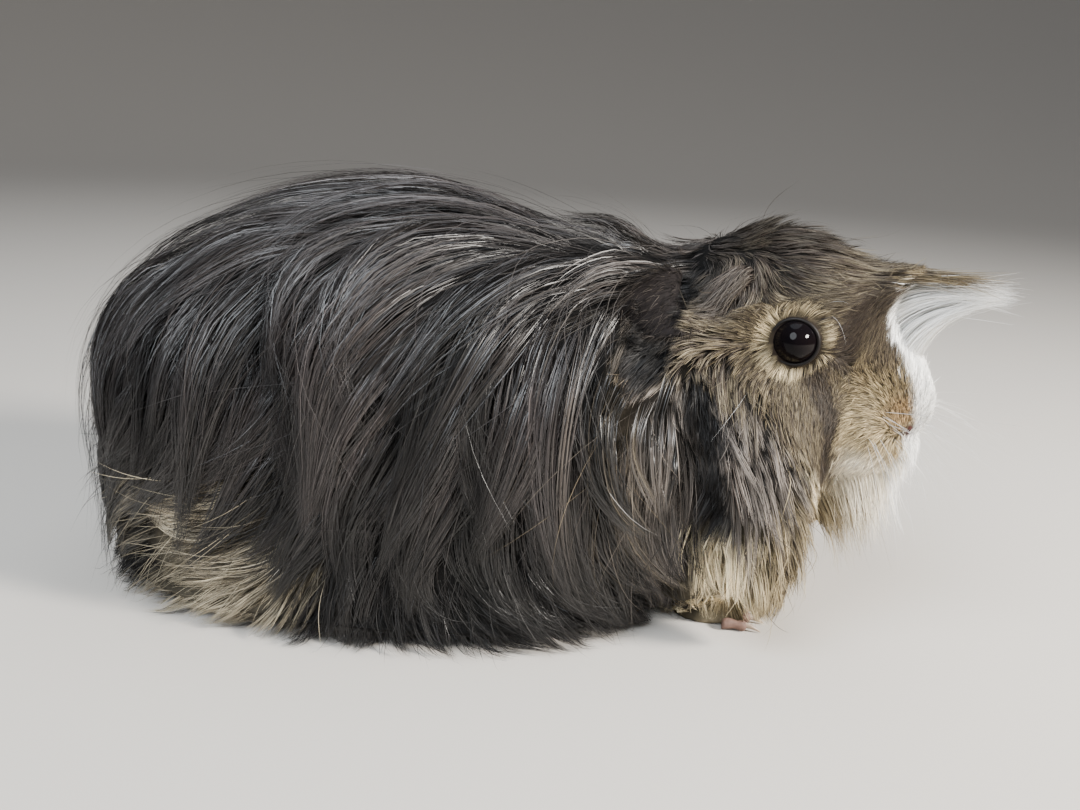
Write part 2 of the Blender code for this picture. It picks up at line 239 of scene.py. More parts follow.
BODY_STROKES = (
    # along the spine, where the coat sweeps back from its parting
    Comb((46, 6, 104), (-0.86, 0.48, -0.10), 30, 7, 9, 10),
    Comb((52, 1, 101), (-0.95, 0.15, 0.10), 17, 5, 6),
    Comb((28, 10, 109), (-0.90, 0.42, -0.12), 92, 9, 15, 20),
    Comb((-4, 10, 115), (-0.94, 0.32, -0.12), 98, 9, 15, 34),
    Comb((-40, 10, 114), (-0.95, 0.28, -0.16), 98, 9, 15, 34),
    Comb((-72, 10, 106), (-0.92, 0.24, -0.34), 84, 9, 15, 26),
    Comb((-100, 6, 88), (-0.72, 0.15, -0.68), 78, 9, 15, 12),
    # upper flank, turning downwards
    Comb((42, 20, 100), (-0.80, 0.46, -0.38), 80, 8, 9),
    Comb((34, 41, 84), (-0.05, 0.30, -0.95), 78, 9, 12),
    Comb((24, 32, 97), (-0.66, 0.46, -0.60), 90, 9, 15, 14),
    Comb((-7, 31, 105), (-0.74, 0.40, -0.54), 90, 9, 15, 30),
    Comb((-42, 34, 100), (-0.76, 0.36, -0.54), 84, 9, 15, 34),
    Comb((-80, 30, 90), (-0.56, 0.36, -0.74), 78, 9, 15, 16),
    # middle of the flank
    Comb((33, 47, 63), (0.02, 0.00, -1.00), 62, 9, 12),
    Comb((12, 47, 76), (-0.14, 0.15, -0.97), 72, 9, 15, 6),
    Comb((-10, 50, 74), (-0.46, 0.10, -0.88), 66, 9, 15, 30),
    Comb((-30, 50, 70), (-0.40, 0.10, -0.92), 60, 9, 15, 34),
    Comb((-52, 47, 78), (-0.20, 0.20, -0.96), 52, 9, 15, 22),
    Comb((-46, 51, 56), (-0.26, 0.00, -0.96), 38, 9, 12, 0),
    Comb((-85, 42, 64), (-0.12, 0.05, -0.99), 44, 9, 15, 6),
    Comb((-113, 8, 58), (-0.05, 0.00, -1.00), 60, 8),
    # lower flank
    Comb((36, 42, 30), (0.05, 0.00, -1.00), 40, 8, 12, 16),
    Comb((16, 48, 44), (0.02, 0.00, -1.00), 52, 8, 15, 24),
    Comb((-2, 51, 50), (-0.44, 0.00, -0.90), 58, 8, 12, 66),
    Comb((-18, 52, 36), (-0.55, 0.00, -0.83), 38, 8, 12, 40),
    Comb((-36, 51, 40), (-0.62, 0.00, -0.78), 40, 8, 12, 8),
    Comb((-58, 50, 44), (-0.88, 0.00, -0.48), 40, 8, 12, -8),
    Comb((-62, 49, 27), (-0.97, 0.00, -0.22), 30, 8, 12, -8),
    Comb((-86, 42, 32), (-0.78, -0.2, -0.60), 32, 8, 12),
    Comb((-108, 20, 30), (-0.18, 0.00, -0.98), 32, 8),
    # the hem, where tips curl on the floor
    Comb((38, 42, 5), (0.80, 0.10, -0.58), 16, 6, 9, 20),
    Comb((20, 46, 6), (0.75, 0.10, -0.65), 16, 6, 10, 20),
    Comb((-4, 52, 9), (0.30, 0.20, -0.93), 22, 6, 9, 50),
    Comb((-34, 51, 8), (-0.20, 0.20, -0.97), 16, 6, 10),
    Comb((-62, 48, 8), (-0.90, 0.20, -0.40), 18, 6, 10),
    Comb((-104, 20, 6), (-0.50, 0.00, -0.86), 14, 6, 10),
    # ruff behind the cheek, falling to both sides of its hollow
    Comb((43, 41, 75), (-0.90, 0.20, -0.36), 50, 5, 5, 40),
    Comb((50, 40, 77), (-0.62, 0.20, -0.74), 56, 5, 5, 40),
    Comb((60, 38, 75), (0.52, 0.10, -0.84), 50, 5, 5, -16),
    Comb((66, 38, 71), (0.48, 0.10, -0.85), 46, 4.5, 5, -14),
    Comb((54, 40, 74), (-0.05, 0.10, -0.99), 6, 7, 4),
    Comb((54, 41, 67), (0.02, 0.10, -0.99), 7, 11, 5.5),
    Comb((56, 42, 57), (0.05, 0.10, -0.99), 12, 11, 5.5),
    Comb((59, 42, 46), (0.05, 0.10, -0.99), 14, 10, 5.5),
    Comb((42, 43, 62), (-0.24, 0.10, -0.96), 54, 6, 8, 32),
    Comb((62, 42, 62), (0.52, 0.10, -0.84), 44, 6, 6, -12),
    Comb((72, 42, 56), (0.48, 0.05, -0.87), 36, 5, 7, -10),
    Comb((46, 40, 42), (0.10, 0.00, -1.00), 38, 6, 8, 24),
    Comb((82, 40, 40), (0.26, 0.00, -0.97), 24, 5, 7),
    Comb((66, 40, 24), (0.20, 0.00, -0.98), 14, 7, 8),
    # chest
    Comb((86, 16, 34), (0.12, 0.00, -0.99), 20, 5, 9),
    Comb((84, 0, 26), (0.20, 0.00, -0.98), 20, 5, 9),
    Comb((80, 10, 12), (0.30, 0.00, -0.95), 9, 4, 7),
    Comb((77, 13, 4), (0.95, 0.00, -0.30), 2.6, 0.4, 4),
)
HEAD_STROKES = (
    # nose and blaze
    on_head((53, 0, 4), (-0.40, 0.00, 0.92), 2.0, 0.9, 4),
    on_head((50, 5, 9), (-0.40, 0.02, 0.92), 2.8, 1.0, 4),
    on_head((44, 0, 17), (-0.20, 0.00, 0.98), 4.5, 1.6, 5),
    on_head((38, 9, 15), (-0.25, -0.05, 0.97), 4.0, 1.4, 4),
    on_head((35, 6, 22), (0.00, -0.10, 1.00), 6.0, 2.2, 4),
    on_head((37, 0, 23), (0.05, 0.00, 1.00), 7.0, 2.4, 5),
    on_head((34, 6, 31), (0.95, -0.15, 0.20), 6.0, 2.0, 3.5),
    # brow, running up into the forelock
    on_head((31, 13, 19), (-0.05, -0.05, 1.00), 5.0, 1.8, 4),
    on_head((27, 16, 17), (0.35, 0.00, 0.90), 4.0, 1.5, 4),
    on_head((24, 15, 27), (0.75, -0.30, 0.45), 8.0, 2.6, 5),
    on_head((22, 6, 34), (0.93, -0.20, 0.00), 13.0, 3.4, 6),
    on_head((32, 5, 34), (0.98, -0.12, -0.05), 8.0, 2.2, 4),
    # crown, combed forward
    on_head((16, 10, 35), (0.97, -0.10, -0.02), 12.0, 4.0, 7),
    on_head((4, 14, 32), (0.98, 0.00, 0.10), 11.0, 4.0, 7),
    on_head((4, 0, 35), (0.99, 0.00, 0.06), 12.0, 4.0, 8),
    on_head((-7, 15, 26), (0.80, 0.10, 0.50), 9.0, 4.0, 6),
    on_head((-14, 0, 30), (0.92, 0.00, 0.30), 10.0, 4.5, 8),
    on_head((12, 22, 20), (0.93, 0.10, -0.22), 6.0, 2.0, 4),
    on_head((0, 22, 20), (0.35, 0.35, -0.87), 9.0, 3.0, 4),
    on_head((-5, 20, 22), (0.25, 0.40, -0.87), 10.0, 3.5, 4),
    on_head((19, 21, 21), (0.80, -0.05, 0.50), 5.0, 1.8, 4),
    # round the eye
    on_head((15, 24, 18), (-0.15, 0.20, 0.96), 2.8, 1.1, 2.5),
    on_head((9, 25, 13), (-0.85, 0.20, 0.25), 2.8, 1.1, 2.5),
    on_head((12, 25, 5), (-0.50, 0.20, -0.85), 3.0, 1.1, 2.5),
    on_head((21, 23, 5), (0.20, 0.10, -0.97), 3.0, 1.1, 2.5),
    on_head((24, 21, 16), (0.75, -0.10, 0.55), 3.0, 1.1, 2.5),
    on_head((26, 20, 8), (0.60, 0.00, -0.70), 2.2, 0.9, 2.5),
    # temple, running back to the ear
    on_head((2, 27, 9), (-0.85, 0.20, -0.35), 5.5, 2.0, 5),
    on_head((-4, 31, 3), (-0.85, 0.30, -0.38), 6.5, 2.6, 5),
    # cheek
    on_head((14, 26, -1), (0.05, 0.10, -0.99), 4.5, 1.6, 4),
    on_head((21, 24, -2), (0.10, 0.10, -0.98), 4.2, 1.5, 4),
    on_head((26, 24, -10), (0.26, 0.00, -0.96), 6.0, 2.0, 5),
    on_head((12, 30, -7), (0.40, 0.20, -0.88), 7.5, 2.8, 4.5),
    on_head((4, 33, -3), (-0.10, 0.20, -0.97), 6.5, 3.0, 4),
    on_head((18, 27, -18), (0.42, 0.00, -0.90), 13.0, 3.4, 6),
    on_head((32, 18, -18), (0.28, 0.00, -0.96), 9.0, 2.4, 5),
    on_head((32, 17, 0), (0.10, 0.15, -0.98), 3.0, 0.9, 3.5),
    on_head((34, 17, -12), (0.15, 0.10, -0.98), 4.0, 1.2, 3.5),
    # whisker pad, spreading from beside the nostril
    on_head((40, 14, 9), (-0.80, 0.15, 0.50), 2.8, 1.1, 3),
    on_head((37, 15.5, 3), (-0.95, 0.10, -0.15), 3.2, 1.2, 3),
    on_head((46, 11, 4), (-0.60, 0.20, 0.50), 2.0, 1.0, 2.5),
    on_head((39, 16, -4), (-0.70, 0.10, -0.68), 3.8, 1.3, 3.5),
    on_head((44, 13, -9), (-0.35, 0.10, -0.92), 4.0, 1.3, 3.5),
    on_head((49, 9, -9), (-0.20, 0.10, -0.97), 3.0, 1.1, 3.5),
    on_head((53, 0, -8), (0.00, 0.00, -1.00), 2.2, 1.0, 3),
    # chin and throat
    on_head((44, 8, -19), (-0.15, 0.00, -0.98), 6.0, 1.8, 5),
    on_head((44, 0, -26), (0.05, 0.00, -0.99), 9.0, 2.4, 5),
    on_head((34, 6, -36), (0.05, 0.00, -0.99), 14.0, 3.0, 6),
    on_head((20, 12, -38), (0.35, 0.00, -0.93), 15.0, 4.0, 7),
    on_head((-9, 20, 11), (-0.60, 0.45, -0.60), 6.0, 4.0, 4),
    on_head((-14, 25, 11), (-0.80, 0.40, -0.40), 6.0, 5.0, 4.5),
    on_head((-13, 34, 3), (-0.30, 0.30, -0.90), 6.0, 6.5, 4.5),
    on_head((-12, 40, -3), (-0.20, 0.30, -0.90), 6.5, 5.5, 4),
)


class CombingChart:
    """Blends the comb strokes into the lie, length and depth of the coat anywhere."""

    def __init__(self, strokes: tuple[Comb, ...]) -> None:
        """Places every stroke and its mirror image in the model.

        Args:
            strokes: The strokes of one side; y is outwards.
        """
        at, towards, reach, sizes = [], [], [], []
        for stroke in strokes:
            for side in (1.0, -1.0):
                flip = np.array([1.0, side, 1.0])
                spot, way = np.array(stroke.at) * MM * flip, np.array(stroke.towards) * flip
                if stroke.place is Place.HEAD:
                    spot, way = HEAD.outward(spot), HEAD.rotation() @ way
                at.append(spot)
                towards.append(way)
                reach.append(stroke.reach * MM)
                sizes.append((stroke.length * MM, stroke.depth * MM, radians(stroke.curl)))
        self.at, self.towards = np.array(at), unit(np.array(towards))
        self.reach, self.size_table = np.array(reach), np.array(sizes)

    def blend(self, points: np.ndarray, table: np.ndarray) -> np.ndarray:
        """Blends a table's rows, one for each stroke, by how much each stroke is felt.

        Args:
            points: Places in the model.
            table: What each stroke says, a row for each.

        Returns:
            A blended row for each place.
        """
        blended = np.empty((len(points), table.shape[1]))
        for start in range(0, len(points), 20000):
            part = slice(start, start + 20000)
            apart = ((points[part, None, :] - self.at[None]) ** 2).sum(-1)
            felt = np.exp(-apart / (2 * self.reach**2)) / (self.reach / MM) ** 3 + 1e-9
            blended[part] = felt @ table / felt.sum(1, keepdims=True)
        return blended

    def flow(self, points: np.ndarray, normals: np.ndarray) -> np.ndarray:
        """The way that the hair runs along the surface.

        Args:
            points: Places in the model.
            normals: The surface's normals there.

        Returns:
            A unit vector along the surface for each place.
        """
        way = self.blend(points, self.towards)
        way = way - (way * normals).sum(-1, keepdims=True) * normals
        return unit(way)

    def sizes(self, points: np.ndarray) -> tuple[np.ndarray, np.ndarray, np.ndarray]:
        """Hair length, coat depth and curl at each point."""
        return tuple(self.blend(points, self.size_table).T)


# ---- gaps in the coat ------------------------------------------------------------------------
@dataclass(frozen=True)
class Furrow:
    """A gap in the coat, darkened with painted shade, along a line of places in millimetres, on both
    sides; y is outwards.

    Attributes:
        line: The places.
        radius: Half its width.
        bare: Whether long hair stops at it, as round the ear, or only sinks into it.
        place: Whose axes the places are given in.
    """

    line: tuple[tuple[float, float, float], ...]
    radius: float
    bare: bool = False
    place: Place = Place.BODY

    def nearness(self, points: np.ndarray) -> np.ndarray:
        """How far places are from the line, as a share of its radius; depth counts for less.

        Args:
            points: Places in the model.

        Returns:
            0 on the line and 1 at its radius, for each place.
        """
        squash = np.array([1.0, 0.45, 1.0])
        spots = HEAD.inward(points) if self.place is Place.HEAD else points * 1.0
        spots[..., 1] = np.abs(spots[..., 1])
        spots = spots * squash
        gap = np.full(points.shape[:-1], 1.0)
        for start, end in zip(self.line, self.line[1:]):
            a, b = np.array(start) * MM * squash, np.array(end) * MM * squash
            along = np.clip((spots - a) @ (b - a) / ((b - a) @ (b - a)), 0, 1)
            gap = np.minimum(gap, np.linalg.norm(spots - (a + along[..., None] * (b - a)), axis=-1))
        return gap / (self.radius * MM)


FURROWS = (
    # round the ear, and where the ruff parts
    Furrow(((-15, 25, 12), (-13, 33, 4), (-11, 40, -4)), 5.8, True, Place.HEAD),
    Furrow(((2, 38, -6), (9, 39, -18), (19, 38, -34)), 5.2, True, Place.HEAD),
    # between the great locks of the flank
    Furrow(((2, 38, 96), (-3, 47, 81), (-8, 52, 66), (-14, 52, 52)), 7.5),
    Furrow(((4, 48, 74), (3, 50, 55), (2, 51, 34), (6, 50, 12)), 5.5),
    Furrow(((-55, 42, 87), (-52, 47, 74), (-42, 51, 62), (-40, 51, 49), (-46, 52, 34)), 5.5),
    Furrow(((-80, 23, 96), (-80, 41, 79), (-81, 48, 61), (-78, 49, 46)), 4.5),
    Furrow(((-19, 52, 51), (-28, 52, 37), (-30, 52, 18)), 4.5),
    Furrow(((30, 36, 92), (30, 46, 70), (34, 45, 45)), 4.0),
)


def sunk(points: np.ndarray, inner: float, outer: float) -> np.ndarray:
    """How far into a furrow each place is, from 0 beyond outer to 1 within inner."""
    return 1 - ramp(np.min([furrow.nearness(points) for furrow in FURROWS], axis=0), inner, outer)


# ---- markings --------------------------------------------------------------------------------
@dataclass(frozen=True)
class Palette:
    """The colours of the coat."""

    black: np.ndarray = field(default_factory=lambda: srgb(27, 23, 22))
    charcoal: np.ndarray = field(default_factory=lambda: srgb(46, 41, 40))
    smoke: np.ndarray = field(default_factory=lambda: srgb(112, 104, 97))
    olive: np.ndarray = field(default_factory=lambda: srgb(119, 108, 87))
    gold: np.ndarray = field(default_factory=lambda: srgb(171, 150, 108))
    tick: np.ndarray = field(default_factory=lambda: srgb(44, 34, 27))
    beige: np.ndarray = field(default_factory=lambda: srgb(168, 157, 134))
    cream: np.ndarray = field(default_factory=lambda: srgb(232, 216, 180))
    white: np.ndarray = field(default_factory=lambda: srgb(250, 249, 246))
    rust: np.ndarray = field(default_factory=lambda: srgb(190, 136, 84))
    bare: np.ndarray = field(default_factory=lambda: srgb(92, 52, 50))


@dataclass
class Pelt:
    """The coat at some places.

    Attributes:
        colour: The hair's main colour, near its tip.
        banding: How much darker its root is, 0 to 1.
        ticking: The share of wholly dark hairs.
    """

    colour: np.ndarray
    banding: np.ndarray
    ticking: np.ndarray

    def lay(self, colour: np.ndarray, banding: float, ticking: float, share: np.ndarray) -> None:
        """Lays another marking over this one; painted shade is laid the same way.

        Args:
            colour: The marking's colour.
            banding: Its banding, 0 to 1.
            ticking: Its share of dark hairs.
            share: How much of it each place gets.
        """
        self.colour = mix(self.colour, colour, share)
        self.banding = self.banding * (1 - share) + banding * share
        self.ticking = self.ticking * (1 - share) + ticking * share


class MarkingsAndShade:
    """The pattern that the skin and the coat share, with painted shade laid into it."""

    def __init__(self, palette: Palette) -> None:
        """Keeps the palette."""
        self.palette = palette

    @staticmethod
    def near_line(points: np.ndarray, start: tuple, end: tuple, radius: float) -> np.ndarray:
        """1 on a line between two places in millimetres, falling to 0 at the radius.

        Args:
            points: Places in the same axes as the line.
            start: One end, in millimetres.
            end: The other end.
            radius: Where it has faded out, in millimetres.

        Returns:
            A share for each place.
        """
        a, b = np.array(start) * MM, np.array(end) * MM
        along = np.clip((points - a) @ (b - a) / ((b - a) @ (b - a)), 0, 1)
        gap = np.linalg.norm(points - (a + along[:, None] * (b - a)), axis=1)
        return 1.0 - ramp(gap, radius * MM * 0.45, radius * MM)

    def at(self, points: np.ndarray) -> Pelt:
        """The coat at each place of the model.

        Args:
            points: Places in the model.

        Returns:
            Their colour, banding and ticking.
        """
        ragged = waves(points, 9 * MM, 3) * 1.2 * MM + waves(points, 2.4 * MM, 4) * 0.5 * MM
        h = HEAD.inward(points)
        h[:, 1] = np.abs(h[:, 1])
        body = points.copy()
        body[:, 1] = np.abs(body[:, 1])
        nothing = np.zeros(len(points))
        pelt = Pelt(np.tile(self.palette.black, (len(points), 1)), nothing, nothing)
        self.mark_body(pelt, points, body, ragged)
        self.mark_head(pelt, h, ragged)
        self.mark_face(pelt, h, ragged)
        # painted shade: the furrows between the locks, round the ear and in the ruff's hollow are laid
        # near-black
        pelt.lay(self.palette.black * 0.5, 0.0, 0.0, sunk(points, 0.8, 1.25))
        return pelt

    def mark_body(self, pelt: Pelt, points: np.ndarray, body: np.ndarray, ragged: np.ndarray) -> None:
        """Charcoal back, golden edge beside the ear, painted shade low on the flank, pale haunch and
        cream chest.

        Args:
            pelt: The coat so far.
            points: Places in the model.
            body: The same with y outwards.
            ragged: How far each edge strays there, in metres.
        """
        p = self.palette
        pelt.lay(p.charcoal, 0.1, 0.05, 0.5 + 0.5 * waves(points, 26 * MM, 5).clip(-1, 1))
        high = ramp(points[:, 2] + 3 * ragged, 30 * MM, 80 * MM)
        shoulder = ramp(body[:, 0] + 2 * ragged, 24 * MM, 42 * MM) * high
        shoulder = shoulder * (1 - 0.75 * ramp(points[:, 2], 84 * MM, 98 * MM))
        pelt.lay(mix(p.smoke, p.olive, np.array(0.5)), 0.5, 0.50, 0.24 * shoulder)
        ruff = self.near_line(body, (46, 42, 72), (46, 40, 10), 15)
        ruff = np.maximum(ruff, self.near_line(body, (60, 40, 72), (84, 42, 26), 13))
        pelt.lay(p.smoke * 1.14, 0.35, 0.26, 0.85 * ruff)
        edge = self.near_line(body, (36, 43, 84), (39, 45, 12), 10)
        pelt.lay(mix(p.smoke, p.gold, np.array(0.6)), 0.4, 0.42, 0.66 * edge)
        # painted shade: hair low on the flank, outside the ruff, is laid darker
        pelt.lay(p.black * 0.75, 0.0, 0.0, 0.6 * (1 - ramp(points[:, 2], 20 * MM, 60 * MM)) * (1 - ruff))
        apart = (body - np.array([-66, 48, 22]) * MM) / (np.array([28, 22, 22.0]) * MM)
        torn = waves(points * np.array([0.4, 1, 1.6]), 9 * MM, 9) * 0.12
        haunch = np.linalg.norm(apart, axis=1) + torn
        # the beige is raised well past its own colour to outweigh the painted shade that shaded() lays on
        # low and rear hair
        pelt.lay(p.beige * 3.2, 0.40, 0.18, 1.0 - ramp(haunch, 0.65, 1.2))
        low = 1 - ramp(points[:, 2] + ragged, 32 * MM, 42 * MM)
        bib = ramp(body[:, 0] + ragged, 57 * MM, 63 * MM) * low
        front_edge = self.near_line(body, (88, 44, 40), (84, 44, 4), 7)
        pelt.lay(p.cream, 0.1, 0.03, bib * (1 - front_edge))

    def mark_head(self, pelt: Pelt, h: np.ndarray, ragged: np.ndarray) -> None:
        """Ticked crown, temple and cheek, and painted shade in the hollow by the ear; the ruff's hollow
        is shaded with the furrows.

        Args:
            pelt: The coat so far.
            h: Places in the head's axes with y outwards.
            ragged: How far each edge strays there.
        """
        p = self.palette
        x, y, z = (h[:, k] + ragged for k in range(3))
        top = ramp(x, -16 * MM, 6 * MM) * ramp(z, 6 * MM, 16 * MM)
        pelt.lay(p.olive * 0.72, 0.85, 0.50, top)
        grey = top * (1 - ramp(x, 4 * MM, 16 * MM)) * ramp(z, 20 * MM, 28 * MM)
        pelt.lay(p.smoke * 0.24, 0.8, 0.5, 0.85 * grey)
        side = ramp(x, -12 * MM, -2 * MM) * (1 - ramp(z, 8 * MM, 16 * MM)) * ramp(z, -9 * MM, -3 * MM)
        pelt.lay(p.olive * 0.92, 0.85, 0.45, side)
        above_ruff = ramp(z + 0.75 * (x - 8 * MM), 0 * MM, 5 * MM)
        front = ramp(x, 2 * MM, 8 * MM) * above_ruff
        cheek = front * (1 - ramp(z, 14 * MM, 24 * MM))
        pelt.lay(mix(p.gold, p.olive, np.array(0.68)) * 0.74, 0.9, 0.48, cheek)
        throat = ramp(x, 8 * MM, 20 * MM) * (1 - above_ruff) * (1 - ramp(y, 17 * MM, 25 * MM))
        pelt.lay(p.cream, 0.2, 0.05, throat)
        tuft = self.near_line(h, (-4, 20, 22), (-2, 24, 16), 8)
        pelt.lay(p.smoke * 0.6, 0.9, 0.45, tuft)
        # painted shade in the hollow at the ear's root
        ear_hollow_shade = self.near_line(h, (-13, 16, 13), (-14, 27, 0), 9)
        pelt.lay(p.black * 0.4, 0.0, 0.0, ear_hollow_shade)

    def mark_face(self, pelt: Pelt, h: np.ndarray, ragged: np.ndarray) -> None:
        """Pale eye ring, painted shade along the groove below the eye, golden whisker pad, cream chin
        partly darkened as painted shade, and white blaze.

        Args:
            pelt: The coat so far.
            h: Places in the head's axes with y outwards.
            ragged: How far each edge strays there.
        """
        p = self.palette
        x, z = h[:, 0] + ragged, h[:, 2] + ragged
        sooty = self.near_line(h, (27, 18, 15), (30, 13, 27), 8.2)
        sooty = np.maximum(sooty, self.near_line(h, (33, 11, 26), (37, 10.5, 16), 5.0))
        pelt.lay(p.tick * 0.8, 0.3, 0.5, 0.88 * sooty)
        pad = ramp(x + 0.2 * z, 33.5 * MM, 36.5 * MM) * ramp(z, -26 * MM, -20 * MM)
        pelt.lay(mix(p.gold, p.cream, np.array(0.2)), 0.6, 0.22, pad * (1 - ramp(z, 8 * MM, 15 * MM)))
        pelt.lay(mix(p.gold, p.tick, np.array(0.40)), 0.75, 0.42, 0.7 * pad * ramp(z, -2 * MM, 10 * MM))
        brow = self.near_line(h, (31, 12, 27), (36, 11, 15), 8)
        pelt.lay(mix(p.olive, p.tick, np.array(0.55)), 0.8, 0.55, 0.8 * brow)
        low_pad = ramp(x, 35 * MM, 41 * MM) * ramp(-z, 4 * MM, 11 * MM) * ramp(z, -26 * MM, -20 * MM)
        pelt.lay(mix(p.cream, p.white, np.array(0.4)), 0.15, 0.06, low_pad)
        eye_gap = np.linalg.norm(h - (EYE + np.array([0, 2 * MM, 0])), axis=1)
        ring = 1.0 - ramp(eye_gap, 6.3 * MM, 7.9 * MM)
        pelt.lay(mix(p.gold, p.cream, np.array(0.35)), 0.3, 0.10, ring)
        # painted shade along the groove from the eye's front corner down beside the whisker pad
        groove_shade = np.maximum(
            self.near_line(h, (24.5, 21, 6.5), (32, 17, -2), 4.6),
            self.near_line(h, (32, 17, -2), (34.5, 16.5, -15), 3.8),
        )
        pelt.lay(p.tick * 0.8, 0.2, 0.0, 0.92 * groove_shade)
        rusty = 1.0 - ramp(np.linalg.norm(h - np.array([46.5, 10.5, 3]) * MM, axis=1), 1.5 * MM, 6 * MM)
        pelt.lay(p.rust, 0.3, 0.1, 0.30 * rusty)
        # the chin's golden cream, darkened to 0.6 partly as painted shade beneath the head
        chin = ramp(-z, 17 * MM, 22 * MM) * ramp(x, 25 * MM, 33 * MM)
        pelt.lay(mix(p.gold, p.cream, np.array(0.3)) * 0.60, 0.3, 0.28, chin)
        half = 6.8 * MM + 2.0 * MM * ramp(z, 0 * MM, 9 * MM) - 1.0 * MM * ramp(z, 12 * MM, 22 * MM)
        half = half - 3.0 * MM * ramp(-z, 9 * MM, 18 * MM)
        blaze = 1 - ramp(h[:, 1] + 0.5 * ragged, half - 0.9 * MM, half + 0.6 * MM)
        blaze = blaze * (1 - ramp(z, 30 * MM, 32 * MM)) * ramp(z, -17 * MM, -13 * MM)
        pelt.lay(p.white, 0.0, 0.0, blaze * ramp(x, 30 * MM, 32.5 * MM))


# ---- the outline and the skin ----------------------------------------------------------------
@dataclass
class Outline:
    """The closed outer form that the coat fills, from the solids of the flesh.

    Attributes:
        grain: The size of its mesh.
        bridge: Slots up to twice this wide are closed over.
        skirt: How far its lower edge runs on below the floor, so that hair can slide off it.
        brow_front: How far forward the brow comes, in the head's axes.
    """

    grain: float = 2.0 * MM
    bridge: float = 2.2 * MM
    skirt: float = 40 * MM
    brow_front: float = 32 * MM

    def build(self) -> "Outline":
        """Joins, swells, melts and shrinks the solids, and readies the search tree.

        Returns:
            This outline, ready to be asked.
        """
        bm = bmesh.new()
        for node in (*FLESH, "eye_left", "eye_right"):
            bm.from_mesh(bpy.data.objects[node].data)
        bm.from_mesh(self.brow())
        bmesh.ops.remove_doubles(bm, verts=bm.verts, dist=1e-6)
        bm.normal_update()
        for vertex in bm.verts:
            vertex.co += vertex.normal * self.bridge
        mesh = bpy.data.meshes.new("outline")
        bm.to_mesh(mesh)
        bm.free()
        form = new_object("outline", mesh)
        melt = form.modifiers.new("melt", "REMESH")
        melt.mode, melt.voxel_size = "VOXEL", self.grain
        soften = form.modifiers.new("soften", "SMOOTH")
        soften.factor, soften.iterations = 0.5, 5
        applied(form)
        points, normals = vertex_arrays(form.data)
        points -= normals * self.bridge
        self.surface = points.copy()
        self.faces = np.array([tuple(face.vertices) for face in form.data.polygons])
        floor = points[:, 2] < 1.5 * MM
        points[floor, 2] -= self.skirt
        self.tree = BVHTree.FromPolygons(points.tolist(), self.faces.tolist())
        bpy.data.objects.remove(form)
        return self

    def brow(self) -> bpy.types.Mesh:
        """The forelock's root, pushed back to the brow: its hair does the rest.

        Returns:
            The squeezed copy of the forelock's mesh.
        """
        mesh = bpy.data.objects["forelock"].data.copy()
        points, _ = vertex_arrays(mesh)
        h = HEAD.inward(points)
        h[:, 0] = np.minimum(h[:, 0], self.brow_front + 0.2 * (h[:, 0] - self.brow_front))
        mesh.vertices.foreach_set("co", HEAD.outward(h).astype(np.float32).ravel())
        return mesh

    def nearest(self, points: np.ndarray) -> tuple[np.ndarray, np.ndarray]:
        """The closest places of the outline, and the normals there.

        Args:
            points: Places in the model.

        Returns:
            Places on the outline and its normals there.
        """
        spots, normals = np.empty_like(points), np.empty_like(points)
        find = self.tree.find_nearest
        for k, point in enumerate(points.tolist()):
            spot, normal, _, _ = find(point)
            spots[k], normals[k] = spot, normal
        return spots, normals


